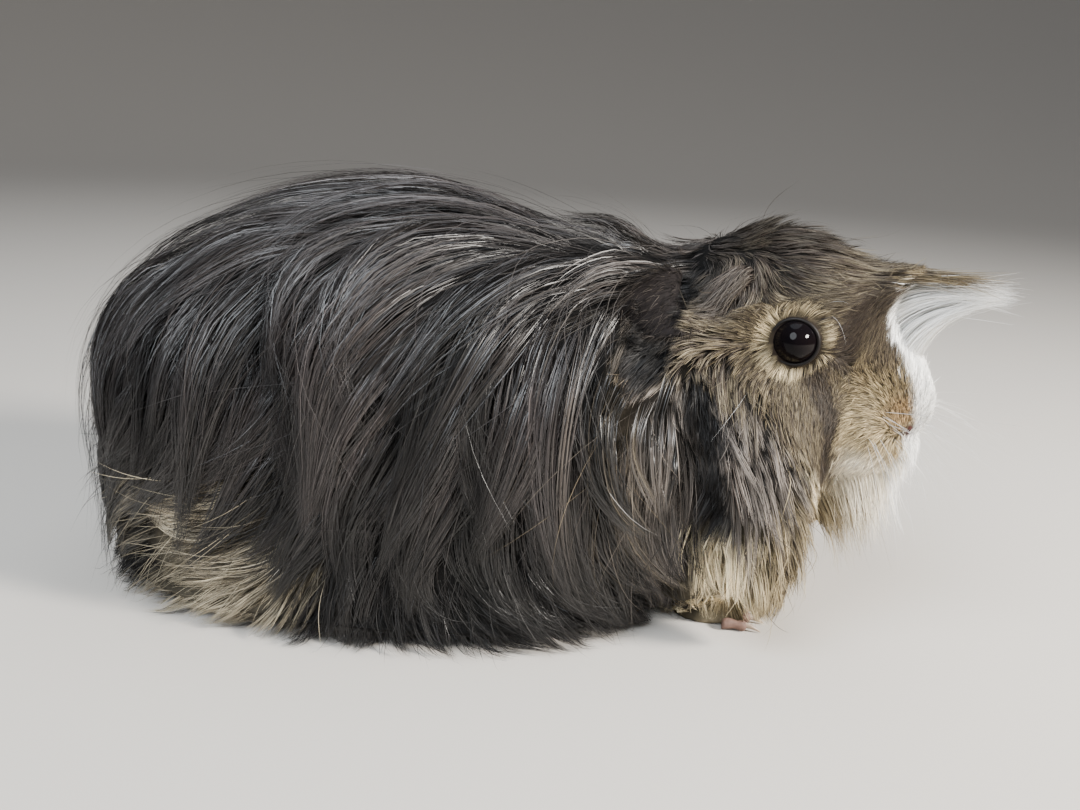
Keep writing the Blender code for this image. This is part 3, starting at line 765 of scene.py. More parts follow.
@dataclass
class Skin:
    """One skin over head, trunk and legs, below the outline by the depth of the coat."""

    outline: Outline
    chart: CombingChart
    markings_and_shade: MarkingsAndShade
    grain: float = 1.3 * MM
    nostril: tuple[float, float, float] = (49.6, 7.8, -1.5)
    mouth_height: float = -15.5 * MM

    def build(self) -> bpy.types.Object:
        """Makes the skin and paints its markings, with painted shade under longer hair and low near the
        floor.

        Returns:
            The skin, with its colours stored.
        """
        mesh = bpy.data.meshes.new("skin")
        mesh.from_pydata(self.outline.surface.tolist(), [], self.outline.faces.tolist())
        points, normals = vertex_arrays(mesh)
        _, depth, _ = self.chart.sizes(points)
        points -= normals * depth[:, None]
        mesh.vertices.foreach_set("co", points.astype(np.float32).ravel())
        bm = bmesh.new()
        bm.from_mesh(mesh)
        for _ in range(4):
            bmesh.ops.smooth_vert(
                bm, verts=bm.verts, factor=0.5, use_axis_x=True, use_axis_y=True, use_axis_z=True
            )
        for leg in LEGS:
            bm.from_mesh(bpy.data.objects[leg].data)
        bm.to_mesh(mesh)
        bm.free()
        skin = new_object("skin", mesh)
        melt = skin.modifiers.new("melt", "REMESH")
        melt.mode, melt.voxel_size = "VOXEL", self.grain
        soften = skin.modifiers.new("soften", "SMOOTH")
        soften.factor, soften.iterations = 0.5, 3
        applied(skin)
        self.refine_muzzle(skin.data)
        self.press_features(skin.data)
        skin.data.shade_smooth()
        points, _ = vertex_arrays(skin.data)
        pelt = self.markings_and_shade.at(points)
        length, _, _ = self.chart.sizes(points)
        shade = 0.80 - 0.66 * np.maximum(pelt.banding, pelt.ticking)
        # painted shade: the skin darkens where longer hair covers it, as in the shaded gaps between hairs
        shade = shade * (1 - 0.80 * ramp(length, 5.0 * MM, 10.0 * MM))
        # painted contact shade: the skin darkens towards the floor
        shade = shade * (0.5 + 0.5 * ramp(points[:, 2], 4 * MM, 14 * MM))
        paint(skin.data, self.with_bare_skin(points, pelt.colour * shade[:, None]))
        return skin

    def refine_muzzle(self, mesh: bpy.types.Mesh) -> None:
        """Gives the nose and lips a finer mesh.

        Args:
            mesh: The skin's mesh.
        """
        bm = bmesh.new()
        bm.from_mesh(mesh)
        middle = Vector(HEAD.outward(np.array([46, 0, -4]) * MM))
        edges = [e for e in bm.edges if (e.verts[0].co - middle).length < 17 * MM]
        bmesh.ops.subdivide_edges(bm, edges=edges, cuts=1, use_grid_fill=True, smooth=0.4)
        bmesh.ops.triangulate(bm, faces=[f for f in bm.faces if len(f.verts) > 4])
        bm.to_mesh(mesh)
        bm.free()

    def press_features(self, mesh: bpy.types.Mesh) -> None:
        """Presses in the nostrils, the cleft below the nose and the line of the mouth.

        Args:
            mesh: The skin's mesh.
        """
        points, normals = vertex_arrays(mesh)
        h = HEAD.inward(points)
        x, y, z = h[:, 0] / MM, np.abs(h[:, 1]) / MM, h[:, 2] / MM
        nx, ny, nz = self.nostril
        right, up = y - ny, z - nz
        slit = ((right * 0.8 + up * 0.6) / 1.5) ** 2 + ((up * 0.8 - right * 0.6) / 0.9) ** 2
        dent = 2.6 * np.exp(-slit) * (x > nx - 7)
        wing = 0.7 * np.exp(-(((y - ny - 0.9) / 2.4) ** 2) - ((z - nz - 1.6) / 1.6) ** 2) * (x > nx - 7)
        cleft = 0.9 * np.exp(-((y / 0.7) ** 2)) * ramp(-z, 1.5, 4.0) * (1 - ramp(-z, 14, 16)) * (x > 44)
        line = (z - self.mouth_height / MM + 0.035 * y * y) / 0.8
        mouth = 1.5 * np.exp(-(line**2)) * ramp(x, 36, 42)
        shift = (wing - dent - cleft - mouth) * MM
        points += normals * shift[:, None]
        mesh.vertices.foreach_set("co", points.astype(np.float32).ravel())
        mesh.update()

    def with_bare_skin(self, points: np.ndarray, colour: np.ndarray) -> np.ndarray:
        """Adds the bare rims of the nostrils and eyes and the soles.

        Args:
            points: The skin's vertices.
            colour: Their colour so far.

        Returns:
            Their colour with the rims.
        """
        bare = self.markings_and_shade.palette.bare
        h = HEAD.inward(points)
        h[:, 1] = np.abs(h[:, 1])
        rim = 1 - ramp(np.linalg.norm(h - np.array(self.nostril) * MM, axis=1), 1.8 * MM, 3.2 * MM)
        lid = 1 - ramp(np.linalg.norm(h - EYE, axis=1), 6.4 * MM, 7.4 * MM)
        colour = mix(colour, bare, rim)
        colour = mix(colour, self.markings_and_shade.palette.tick * 0.8, lid)
        return colour

    def sample(self, skin: bpy.types.Object, count: int, seed: int) -> tuple[np.ndarray, np.ndarray]:
        """Scatters roots evenly over the skin.

        Args:
            skin: The finished skin.
            count: How many roots.
            seed: Which scatter.

        Returns:
            Their positions and the skin's normals there.
        """
        mesh = skin.data
        mesh.calc_loop_triangles()
        corner = np.empty(len(mesh.loop_triangles) * 3, np.int32)
        mesh.loop_triangles.foreach_get("vertices", corner)
        points, normals = vertex_arrays(mesh)
        a, b, c = (points[corner.reshape(-1, 3)[:, k]] for k in range(3))
        area = np.linalg.norm(np.cross(b - a, c - a), axis=1)
        rng = np.random.default_rng(seed)
        steps = (np.arange(count) + rng.random(count)) / count
        pick = np.searchsorted(np.cumsum(area) / area.sum(), steps).clip(0, len(area) - 1)
        u, v = rng.random((2, count, 1))
        u, v = np.where(u + v > 1, 1 - u, u), np.where(u + v > 1, 1 - v, v)
        spots = a[pick] + (b - a)[pick] * u + (c - a)[pick] * v
        facing = unit(normals[corner.reshape(-1, 3)[pick]].mean(1))
        order = rng.permutation(count)
        return spots[order], facing[order]


# ---- hair ------------------------------------------------------------------------------------
@dataclass
class Hairs:
    """Many hairs as arrays: a row is a hair, a column is a step from root to tip."""

    path: np.ndarray
    normal: np.ndarray
    width: np.ndarray
    colour: np.ndarray
    patch: np.ndarray

    def take(self, pick: np.ndarray) -> "Hairs":
        """Some of the hairs."""
        parts = (self.path, self.normal, self.width, self.colour, self.patch)
        return Hairs(*(part[pick] for part in parts))

    def mesh(self, name: str) -> bpy.types.Mesh:
        """Joins the hairs into one mesh of thin strips, with its colours and its OFBake map.

        Args:
            name: The mesh's name.

        Returns:
            The mesh, coloured and mapped.
        """
        count, steps = self.path.shape[:2]
        along = unit(np.gradient(self.path, axis=1))
        side = unit(np.cross(along, self.normal))
        half = 0.5 * self.width[..., None]
        verts = np.stack([self.path - side * half, self.path + side * half], axis=2)
        index = np.arange(count * steps * 2).reshape(count, steps, 2)
        corners = [index[:, :-1, 0], index[:, :-1, 1], index[:, 1:, 1], index[:, 1:, 0]]
        quads = np.stack(corners, axis=-1).reshape(-1, 4)
        mesh = bpy.data.meshes.new(name)
        mesh.vertices.add(verts.size // 3)
        mesh.vertices.foreach_set("co", verts.astype(np.float32).ravel())
        mesh.loops.add(quads.size)
        mesh.loops.foreach_set("vertex_index", quads.astype(np.int32).ravel())
        mesh.polygons.add(len(quads))
        mesh.polygons.foreach_set("loop_start", np.arange(0, quads.size, 4, dtype=np.int32))
        mesh.polygons.foreach_set("use_smooth", np.ones(len(quads), bool))
        mesh.update(calc_edges=True)
        paint(mesh, np.repeat(self.colour[:, :, None, :], 2, axis=2).reshape(-1, 3))
        uv = np.empty((count, steps, 2, 2))
        uv[..., 0] = self.patch[:, None, None, 0] + PATCH * (np.arange(2) - 0.5)
        along = np.linspace(0, 1, steps)[None, :, None]
        uv[..., 1] = self.patch[:, None, None, 1] + PATCH * (along - 0.5)
        layer = mesh.uv_layers.new(name="OFBake")
        layer.data.foreach_set("uv", uv.reshape(-1, 2)[quads.ravel()].astype(np.float32).ravel())
        return mesh


@dataclass(frozen=True)
class Cut:
    """How one length of the coat is cut and dressed.

    Attributes:
        name: The coat's name.
        tufts: How many tufts.
        scatter: How many places all over the skin they are picked from.
        shortest, longest: Which hair lengths belong to it, in metres.
        hairs: Hairs in a tuft.
        steps: Points along a hair.
        width: A hair's greatest width.
        tuft_radius: Half the width of a tuft at its root.
        gather: How far a tuft has drawn together at its tip, 0 to 1.
        lock_size: How far apart the locks are that tufts gather in, or 0 for none.
        stray: The share of hairs that stand off from the rest.
        lift: How far the tips stand off the lie of the coat, as a share of its depth.
        thinning: The power of length by which longer hair grows further apart.
        mingling: How far the markings run into each other, in millimetres.
        seed: Which scatter.
        low: The greatest height above the skin, or 0 for hair that rises to the outline.
    """

    name: str
    tufts: int
    scatter: int
    shortest: float
    longest: float
    hairs: int
    steps: int
    width: float
    tuft_radius: float
    gather: float
    lock_size: float
    stray: float
    lift: float
    thinning: float
    mingling: float
    seed: int
    low: float = 0.0


UNDER_FUR = Cut(
    "under_fur", 7000, 300_000, 6.8 * MM, 26 * MM, 4, 3, 0.15 * MM, 0.8 * MM, 0.1, 0.0, 0.1,
    0.0, 0.5, 0.8, 17, 1.7 * MM,
)
SHORT_FUR = Cut(
    "short_fur", 19500, 480_000, 0.0, 6.8 * MM, 4, 3, 0.12 * MM, 0.5 * MM, 0.2, 0.0, 0.05, 0.08,
    0.5, 0.4, 11,
)
MIDDLE_FUR = Cut(
    "middle_fur", 6300, 300_000, 6.8 * MM, 26 * MM, 5, 6, 0.15 * MM, 0.7 * MM, 0.3, 7 * MM,
    0.07, 0.05, 1.5, 0.8, 12,
)
LONG_COAT = Cut(
    "long_coat", 4260, 80_000, 26 * MM, 0.2, 8, 9, 0.20 * MM, 2.0 * MM, 0.62, 21 * MM, 0.06,
    0.0, 0.5, 3.0, 13,
)
LOOSE_HAIR = Cut(
    "loose_hair", 2600, 30_000, 20 * MM, 0.2, 1, 10, 0.13 * MM, 1.0 * MM, 0.0, 0.0, 0.0, -0.2,
    0.0, 3.0, 15,
)
FLYAWAYS = Cut(
    "flyaway_hair", 1100, 30_000, 9 * MM, 0.2, 1, 10, 0.11 * MM, 1.0 * MM, 0.0, 0.0, 0.0, -1.0,
    0.0, 3.0, 14,
)


@dataclass
class Locks:
    """Which lock each tuft belongs to, and how each lock differs from the next."""

    leader: np.ndarray
    swing: np.ndarray
    curl: np.ndarray
    length: np.ndarray
    lift: np.ndarray
    pull: np.ndarray
    spare: np.ndarray
    tone: np.ndarray
    hem: np.ndarray

    @classmethod
    def sort(cls, roots: np.ndarray, size: float, seed: int) -> "Locks":
        """Picks leaders spread over the skin, and gives every tuft to its nearest.

        Args:
            roots: Where the tufts grow.
            size: The space between leaders.
            seed: Which choice.

        Returns:
            The locks, one row for each tuft.
        """
        rng = np.random.default_rng(seed)
        count = len(roots)
        leaders: list[int] = []
        for k in rng.permutation(count):
            apart = np.linalg.norm(roots[leaders] - roots[k], axis=1) if leaders else np.array([1.0])
            if apart.min() > size * rng.uniform(0.55, 1.2):
                leaders.append(int(k))
        spots = roots[leaders] / np.array([1.0, 1.0, 1.35])
        gap = ((roots[:, None] / np.array([1.0, 1.0, 1.35]) - spots[None]) ** 2).sum(-1)
        leader = np.array(leaders)[gap.argmin(1)]
        return cls(
            leader,
            rng.normal(0, 0.15, count)[leader],
            rng.normal(0, 0.34, count)[leader],
            rng.uniform(0.66, 1.08, count)[leader],
            rng.normal(0, 1.0, count)[leader],
            rng.uniform(0.62, 0.96, count)[leader],
            rng.uniform(0, 3.5, count)[leader] ** 2 * MM,
            np.exp(rng.normal(0.02, 0.40, count)).clip(0.42, 1.7)[leader],
            rng.uniform(1.5, 8.0, count)[leader] * MM,
        )


@dataclass
class Groom:
    """Grows, combs, gathers and colours the coat."""

    outline: Outline
    skin_maker: Skin
    skin: bpy.types.Object
    chart: CombingChart
    markings_and_shade: MarkingsAndShade

    def trace(
        self, steps: int, roots: np.ndarray, lengths: np.ndarray, swing: np.ndarray, curl: np.ndarray
    ) -> tuple[np.ndarray, np.ndarray]:
        """Runs each tuft's middle line from its root along the outline.

        Args:
            steps: Points along a line.
            roots: Where the tufts grow.
            lengths: How long they are.
            swing: How far each turns off the lie of the coat, in radians.
            curl: How much further it has turned towards the front at its tip.

        Returns:
            The places on the outline and the normals there, a row for each tuft.
        """
        spot, normal = self.outline.nearest(roots)
        way = self.chart.flow(spot, normal)
        spots, normals = [spot], [normal]
        step = lengths[:, None] / (steps - 1)
        handed = -np.sign(roots[:, 1])
        for k in range(1, steps):
            wanted = self.chart.flow(spot, normal)
            turn = (swing + handed * curl * (k / (steps - 1)) ** 1.3)[:, None]
            wanted = wanted * np.cos(turn) + np.cross(normal, wanted) * np.sin(turn)
            way = unit(0.4 * way + 0.6 * wanted)
            way = unit(way - (way * normal).sum(-1, keepdims=True) * normal)
            spot, normal_now = self.outline.nearest(spot + way * step)
            normal = unit(0.5 * normal + 0.5 * normal_now)
            spots.append(spot)
            normals.append(normal)
        return np.stack(spots, 1), np.stack(normals, 1)

    @staticmethod
    def trimmed(
        path: np.ndarray, normal: np.ndarray, hem: np.ndarray, spare: np.ndarray
    ) -> tuple[np.ndarray, np.ndarray]:
        """Ends tufts where they would enter a bare gap, or a spare length after they reach the hem.

        Args:
            path: Places along each tuft.
            normal: The outline's normals there.
            hem: The height where each tuft ends.
            spare: How much further each runs.

        Returns:
            The shortened tufts and their normals.
        """
        steps = path.shape[1]
        low = path[:, :, 2] < hem[:, None]
        within = np.min([furrow.nearness(path) for furrow in FURROWS if furrow.bare], axis=0) < 1
        enters = within & np.maximum.accumulate(~within, axis=1)
        spare = np.where(enters.any(1), 0.5 * MM, spare)
        low |= enters
        first = np.where(low.any(1), low.argmax(1), steps - 1)
        gap = np.linalg.norm(np.diff(path, axis=1), axis=2)
        run = np.concatenate([np.zeros((len(path), 1)), np.cumsum(gap, 1)], 1)
        kept = np.minimum(run[np.arange(len(path)), first] + spare, run[:, -1])
        share = np.where(low.any(1), kept / np.maximum(run[:, -1], 1e-9), 1.0)
        place = np.linspace(0, 1, steps)[None] * share[:, None] * (steps - 1)
        lower = np.floor(place).astype(int).clip(0, steps - 2)
        part = (place - lower)[..., None]
        rows = np.arange(len(path))[:, None]
        path = path[rows, lower] * (1 - part) + path[rows, lower + 1] * part
        normal = unit(normal[rows, lower] * (1 - part) + normal[rows, lower + 1] * part)
        return path, normal

    def laid_on_floor(self, path: np.ndarray, normal: np.ndarray, rest: np.ndarray) -> np.ndarray:
        """Turns what would pass through the floor outwards and along it.

        Args:
            path: Places along each tuft.
            normal: The normals there.
            rest: The lowest height allowed at each step.

        Returns:
            The tufts, none of them below the floor.
        """
        below = np.maximum(rest - path[..., 2], 0.0)
        if not below.any():
            return path
        flat = path.reshape(-1, 3)
        touching = below.ravel() > 0
        hem = flat[touching].copy()
        hem[:, 2] = 6 * MM
        out = normal.reshape(-1, 3)[touching]
        way = self.chart.flow(hem, out)
        trail = unit((1.0 * way + 0.12 * out) * np.array([1.0, 1.0, 0.0]))
        flat[touching] += trail * below.ravel()[touching, None] * 0.4
        path = flat.reshape(path.shape)
        path[..., 2] = np.maximum(path[..., 2], rest)
        return path

    def grow(self, cut: Cut) -> Hairs:
        """Makes every hair of one cut.

        Args:
            cut: Which cut.

        Returns:
            Its hairs.
        """
        rng = np.random.default_rng(cut.seed)
        roots, facing = self.skin_maker.sample(self.skin, cut.scatter, cut.seed)
        roots = roots[self.furred(roots, facing)]
        length, depth, curl = self.chart.sizes(roots)
        bare = np.min([furrow.nearness(roots) for furrow in FURROWS if furrow.bare], axis=0) < 1.1
        length = np.where(bare, np.minimum(length, 7 * MM), length)
        mine = (length >= cut.shortest) & (length < cut.longest)
        dense = (np.maximum(cut.shortest, 3 * MM) / np.maximum(length, 1 * MM)) ** cut.thinning
        keep = np.flatnonzero(mine & (rng.random(len(roots)) < dense))[: cut.tufts]
        LOG.info("%s: %d of %d tufts", cut.name, len(keep), cut.tufts)
        roots, length, depth, curl = roots[keep], length[keep], depth[keep], curl[keep]
        count = len(roots)
        t = np.linspace(0, 1, cut.steps)[None]
        length = length * rng.uniform(0.84, 1.12, count)
        if cut.low:
            length = np.minimum(length, 3 * cut.low)
        swing = rng.normal(0, 0.40 if cut.lift < 0 else 0.10, count)
        spare = rng.uniform(0, 4, count) * MM
        lift, tone, hem = np.zeros(count), np.ones(count), np.full(count, 3 * MM)
        locks = None
        if cut.lock_size:
            locks = Locks.sort(roots, cut.lock_size, cut.seed + 50)
            bold = ramp(length, 9 * MM, 34 * MM)
            swing = 0.5 * swing + locks.swing
            ridge = np.exp(-((roots[:, 1] / (7 * MM)) ** 2)) * ramp(roots[:, 2], 80 * MM, 90 * MM)
            swing = swing + rng.normal(0, 0.45, count) * ridge
            curl = curl + locks.curl * bold
            locks.pull = locks.pull * (0.25 + 0.75 * bold)
            length, lift, spare, hem = length * locks.length, locks.lift, spare + locks.spare, locks.hem
        spots, normals = self.trace(cut.steps, roots, length, swing, curl)
        spots, normals = self.trimmed(spots, normals, hem, spare)
        room = np.linalg.norm(roots - spots[:, 0], axis=1)
        if cut.low:
            depth = np.minimum(depth, room)
        sink = self.sinking(cut, roots, depth, lift, t, rng)
        deeper = sink + 5 * MM * sunk(spots, 0.2, 1.2) * ramp(t, 0.05, 0.3)
        sink = np.maximum(sink, np.minimum(deeper, room[:, None] - 1.2 * MM))
        path = spots - normals * sink[..., None]
        if locks is not None:
            led = path[locks.leader]
            aside = path - led
            pull = locks.pull[:, None] * ramp(t, 0.08, 1.0) ** 0.8
            path = path - aside * pull[..., None]
            gap = np.linalg.norm(aside, axis=-1) * (1 - pull)
            dip = np.minimum(gap**2 / cut.lock_size, 0.32 * cut.lock_size) * ramp(t, 0.08, 0.35)
            edge = np.linalg.norm(roots[locks.leader] - roots, axis=1) / cut.lock_size
            # painted light and shade: each tuft takes its lock's random tone, lightened near the lock's
            # middle and darkened towards its edges
            tone = locks.tone ** (0.3 + 0.7 * bold) * (1.22 - 0.92 * bold * ramp(edge, 0.28, 0.8))
            path = path - normals * dip[..., None]
            normals = unit(normals + aside * ((1 - pull) / cut.lock_size * 1.5)[..., None])
        rest = (0.5 + 2.5 * rng.random((count, 1))) * MM + 0.5 * MM * (1 - t)
        for _ in range(2 if cut.steps > 4 else 0):
            path[:, 1:-1] = 0.25 * path[:, :-2] + 0.5 * path[:, 1:-1] + 0.25 * path[:, 2:]
        path = self.laid_on_floor(path, normals, rest)
        path[:, 0] = roots
        return self.split(cut, path, normals, roots, tone, rng)

    @staticmethod
    def sinking(
        cut: Cut,
        roots: np.ndarray,
        depth: np.ndarray,
        lift: np.ndarray,
        t: np.ndarray,
        rng: np.random.Generator,
    ) -> np.ndarray:
        """How far below the outline each tuft runs: higher roots lie over lower ones, like shingles.

        Args:
            cut: Which cut.
            roots: Where the tufts grow.
            depth: How far the skin lies below the outline.
            lift: How much deeper each lock lies.
            t: Steps from root to tip.
            rng: The random draws.

        Returns:
            The depth at the tips, and the depth at every step.
        """
        count = len(roots)
        if cut.low:
            lie = np.maximum(depth - cut.low * rng.uniform(0.5, 1.0, count), 0.0)
            return lie[:, None] + (depth - lie)[:, None] * (1 - t) ** 1.25
        if cut.lift < 0:
            stand = np.minimum(1.0, depth / (4 * MM))
            lie = (-0.6 + 8.0 * cut.lift * rng.random(count) ** 2) * MM * stand
            return lie[:, None] * t**1.2 + depth[:, None] * (1 - t) ** 5
        if cut.longest > 100 * MM:
            lie = (0.3 + 4.4 * (1 - roots[:, 2] / 0.115) + 1.2 * lift + rng.normal(0, 0.4, count)) * MM
            return lie[:, None] + (depth - lie)[:, None] * np.clip(1 - t / 0.22, 0, 1) ** 1.4
        lie = np.abs(rng.normal(0.10, 0.10, count)) * depth + lift * 0.10 * depth - cut.lift * depth
        return lie[:, None] + (depth - lie)[:, None] * (1 - t) ** 1.25

    def split(
        self,
        cut: Cut,
        path: np.ndarray,
        normal: np.ndarray,
        roots: np.ndarray,
        tone: np.ndarray,
        rng: np.random.Generator,
    ) -> Hairs:
        """Splits each tuft's middle line into its hairs.

        Args:
            cut: Which cut.
            path: Places along each tuft.
            normal: The normals there.
            roots: Where the tufts grow.
            tone: How light each tuft is: its lock's random tone with painted light and shade across the
                lock.
            rng: The random draws.

        Returns:
            The hairs.
        """
        count, steps = path.shape[:2]
        shape = (count, cut.hairs, 1, 1)
        t = np.linspace(0, 1, steps)[None, None, :, None]
        along = unit(np.gradient(path, axis=1))
        side = unit(np.cross(along, normal))
        up = np.cross(side, along)
        angle = rng.uniform(0, 2 * pi, shape)
        radius = cut.tuft_radius * np.sqrt(rng.random(shape))
        close = 1 - cut.gather * t**0.8
        sideways = radius * np.cos(angle) * close
        upwards = 0.45 * radius * np.sin(angle) * close
        ripple = np.sin(rng.uniform(0, 2 * pi, shape) + t * rng.uniform(3, 10, shape))
        stray = (rng.random(shape) < cut.stray) * t**1.5
        loose = cut.tuft_radius * 2.4
        sideways = sideways + 0.22 * cut.tuft_radius * ripple * t + stray * rng.normal(0, loose, shape)
        upwards = upwards + stray * np.abs(rng.normal(0, loose * 0.7, shape))
        hairs = path[:, None] + side[:, None] * sideways + up[:, None] * upwards
        hairs[..., 2] = np.maximum(hairs[..., 2], (0.3 + 0.9 * rng.random((count, cut.hairs, 1))) * MM)
        hairs = self.shortened(hairs, rng.uniform(0.78, 1.0, (count, cut.hairs)))
        roll = rng.normal(0, 0.45, shape)
        facing = up[:, None] * np.cos(roll) + side[:, None] * np.sin(roll)
        step = np.linspace(0, 1, steps)
        profile = np.minimum(0.6 + 1.6 * step, 1.0) * (1 - 0.88 * ramp(step, 0.5, 1.0))
        width = cut.width * rng.uniform(0.65, 1.2, (count, cut.hairs, 1)) * profile
        total = count * cut.hairs
        return Hairs(
            hairs.reshape(total, steps, 3),
            facing.reshape(total, steps, 3),
            width.reshape(total, steps),
            (self.tint(cut, roots, steps, rng) * self.shaded(hairs, tone)).reshape(total, steps, 3),
            np.repeat(self.patches(roots), cut.hairs, axis=0),
        )

    @staticmethod
    def shaded(hairs: np.ndarray, tone: np.ndarray) -> np.ndarray:
        """How dark each step of each hair is: its lock's own tone, and painted shade towards the belly,
        in the furrows, on top of the back and over the rear.

        Args:
            hairs: Places along each hair.
            tone: How light each tuft is: its lock's random tone with painted light and shade across the
                lock.

        Returns:
            A factor for the colour of each step.
        """
        # painted shade: hair darkens towards the belly and the floor, except at the front, and in the
        # furrows
        low = 1 - ramp(hairs[..., 2], 10 * MM, 56 * MM)
        front = ramp(hairs[..., 0], 40 * MM, 56 * MM)
        dark = (1 - 0.72 * low * (1 - front)) * (1 - 0.65 * sunk(hairs, 0.3, 1.2))
        # painted shade on the top of the back, where the lights fall strongest
        dark = dark * (1 - 0.20 * ramp(hairs[..., 2], 84 * MM, 106 * MM) * (1 - front))
        # painted shadow over the rear
        rear_shadow = 1 - ramp(hairs[..., 0], -100 * MM, -45 * MM)
        return (tone[:, None, None] * dark * (1 - 0.42 * rear_shadow))[..., None]

    @staticmethod
    def shortened(hairs: np.ndarray, share: np.ndarray) -> np.ndarray:
        """Ends each hair early, at its share of the whole length.

        Args:
            hairs: Places along each hair.
            share: The share of its length that each keeps.

        Returns:
            The shortened hairs.
        """
        steps = hairs.shape[2]
        place = np.linspace(0, 1, steps)[None, None] * share[..., None] * (steps - 1)
        lower = np.floor(place).astype(int).clip(0, steps - 2)
        part = (place - lower)[..., None]
        low = np.take_along_axis(hairs, lower[..., None], axis=2)
        high = np.take_along_axis(hairs, lower[..., None] + 1, axis=2)
        return low * (1 - part) + high * part

    def tint(self, cut: Cut, roots: np.ndarray, steps: int, rng: np.random.Generator) -> np.ndarray:
        """Colours each hair from root to tip: banded, ticked with dark hairs, never two alike, and with
        painted shade near the root.

        Args:
            cut: Which cut.
            roots: Where the tufts grow.
            steps: Points along a hair.
            rng: The random draws.

        Returns:
            A linear colour for each step of each hair.
        """
        p = self.markings_and_shade.palette
        count = len(roots)
        pelt = self.markings_and_shade.at(roots + rng.normal(0, cut.mingling, roots.shape) * MM)
        t = np.linspace(0, 1, steps)[None, None, :]
        tuft = rng.random((count, 1, 1))
        hair = rng.random((count, cut.hairs, 1))
        ticking = pelt.ticking[:, None, None]
        ticked = 0.5 * tuft + 0.5 * hair < ticking * 0.8 + 0.1 * (ticking > 0.1)
        vary = np.exp(rng.normal(0, 0.30, (count, cut.hairs, 1)) + rng.normal(0, 0.14, (count, 1, 1)))
        shape = (count, cut.hairs, steps, 3)
        main = np.broadcast_to(pelt.colour[:, None, None] * vary[..., None], shape)
        banding = pelt.banding[:, None, None] * np.ones_like(t)
        root = mix(main, np.broadcast_to(p.tick, shape), banding)
        band = ramp(t, 0.30, 0.62)
        colour = mix(root, main, band * np.ones((count, cut.hairs, 1)))
        colour = mix(colour, np.broadcast_to(p.tick, main.shape), 0.85 * ticked * np.ones_like(t))
        # painted shade near the root, lighter for pale hair
        base = 0.45 + 0.35 * ramp(pelt.colour.mean(1), 0.5, 0.8)[:, None, None]
        shade = base + (1 - base) * ramp(t, 0.02, 0.30 if cut.longest > 100 * MM else 0.5)
        return colour * shade[..., None]

    @staticmethod
    def furred(roots: np.ndarray, facing: np.ndarray) -> np.ndarray:
        """Leaves the eyes, the nostrils and the hidden underside bare.

        Args:
            roots: Places on the skin.
            facing: The skin's normals there.

        Returns:
            Whether hair grows there.
        """
        h = HEAD.inward(roots)
        h[:, 1] = np.abs(h[:, 1])
        off_eye = np.linalg.norm(h - EYE, axis=1) > 6.5 * MM
        off_nostril = np.linalg.norm(h - np.array(Skin.nostril) * MM, axis=1) > 2.1 * MM
        belly = (facing[:, 2] < -0.35) & (roots[:, 2] < 16 * MM) & (roots[:, 0] < 82 * MM)
        return off_eye & off_nostril & ~belly & (roots[:, 2] > 2.0 * MM)

    @staticmethod
    def patches(roots: np.ndarray) -> np.ndarray:
        """Each root's place on an unrolled skin: the trunk as a tube, the head as a globe beside it.

        Args:
            roots: Places on the skin.

        Returns:
            A place on the map, 0 to 1 each way.
        """
        h = HEAD.inward(roots)
        head = h[:, 0] > -20 * MM
        around = np.arctan2(roots[:, 1], roots[:, 2] - 50 * MM) / (2 * pi) + 0.5
        trunk = np.stack([0.02 + 0.56 * (roots[:, 0] + 0.12) / 0.22, 0.02 + 0.96 * around], 1)
        turn = np.arctan2(h[:, 1], h[:, 2]) / (2 * pi) + 0.5
        tip = np.arccos(np.clip(unit(h - np.array([5, 0, 0]) * MM)[:, 0], -1, 1)) / pi
        globe = np.stack([0.62 + 0.36 * tip, 0.02 + 0.96 * turn], 1)
        return np.where(head[:, None], globe, trunk).clip(0.01, 0.99)

    def dress(self, cut: Cut, finish: bpy.types.Material) -> list[bpy.types.Object]:
        """Grows one cut and lays it out in pieces small enough to share.

        Args:
            cut: Which cut.
            finish: The hair's material.

        Returns:
            The pieces.
        """
        return lay_out(self.grow(cut), cut.name, finish)


def lay_out(hairs: Hairs, name: str, finish: bpy.types.Material) -> list[bpy.types.Object]:
    """Makes objects of hairs, each small enough to share.

    Args:
        hairs: The hairs.
        name: The pieces' name, which a number follows.
        finish: Their material.

    Returns:
        The pieces, from rump to nose.
    """
    per_hair = 2 * (hairs.path.shape[1] - 1)
    order = np.argsort(hairs.path[:, 0, 0], kind="stable")
    parts = max(1, -(-len(order) * per_hair // 190_000))
    pieces = []
    for number, pick in enumerate(np.array_split(order, parts)):
        piece = new_object(f"{name}_{number + 1}", hairs.take(pick).mesh(name))
        piece.data.materials.append(finish)
        pieces.append(piece)
    LOG.info("%s: %d hairs in %d pieces, %d triangles", name, len(order), parts, len(order) * per_hair)
    return pieces


@dataclass(frozen=True)
class Tress:
    """Hair that leaves the lie of the coat. Places are in the head's axes, in millimetres.

    Attributes:
        name: What it is.
        hairs: How many hairs.
        middle: The middle of the patch that it grows from.
        spread: Half the patch's size along each axis.
        rise: The way and distance that each hair first takes.
        bow: Where the tress's middle hair passes.
        tip: Where its middle hair ends.
        fan: How much of the hairs' spread at the root is kept at the tip, along each axis.
        shortest: The share of the way that the shortest hairs go.
        loose: How far tips scatter.
        paired: Whether each side of the head has one.
    """

    name: str
    hairs: int
    middle: tuple[float, float, float]
    spread: tuple[float, float, float]
    rise: tuple[float, float, float]
    bow: tuple[float, float, float]
    tip: tuple[float, float, float]
    fan: tuple[float, float, float]
    shortest: float
    loose: float
    paired: bool = False


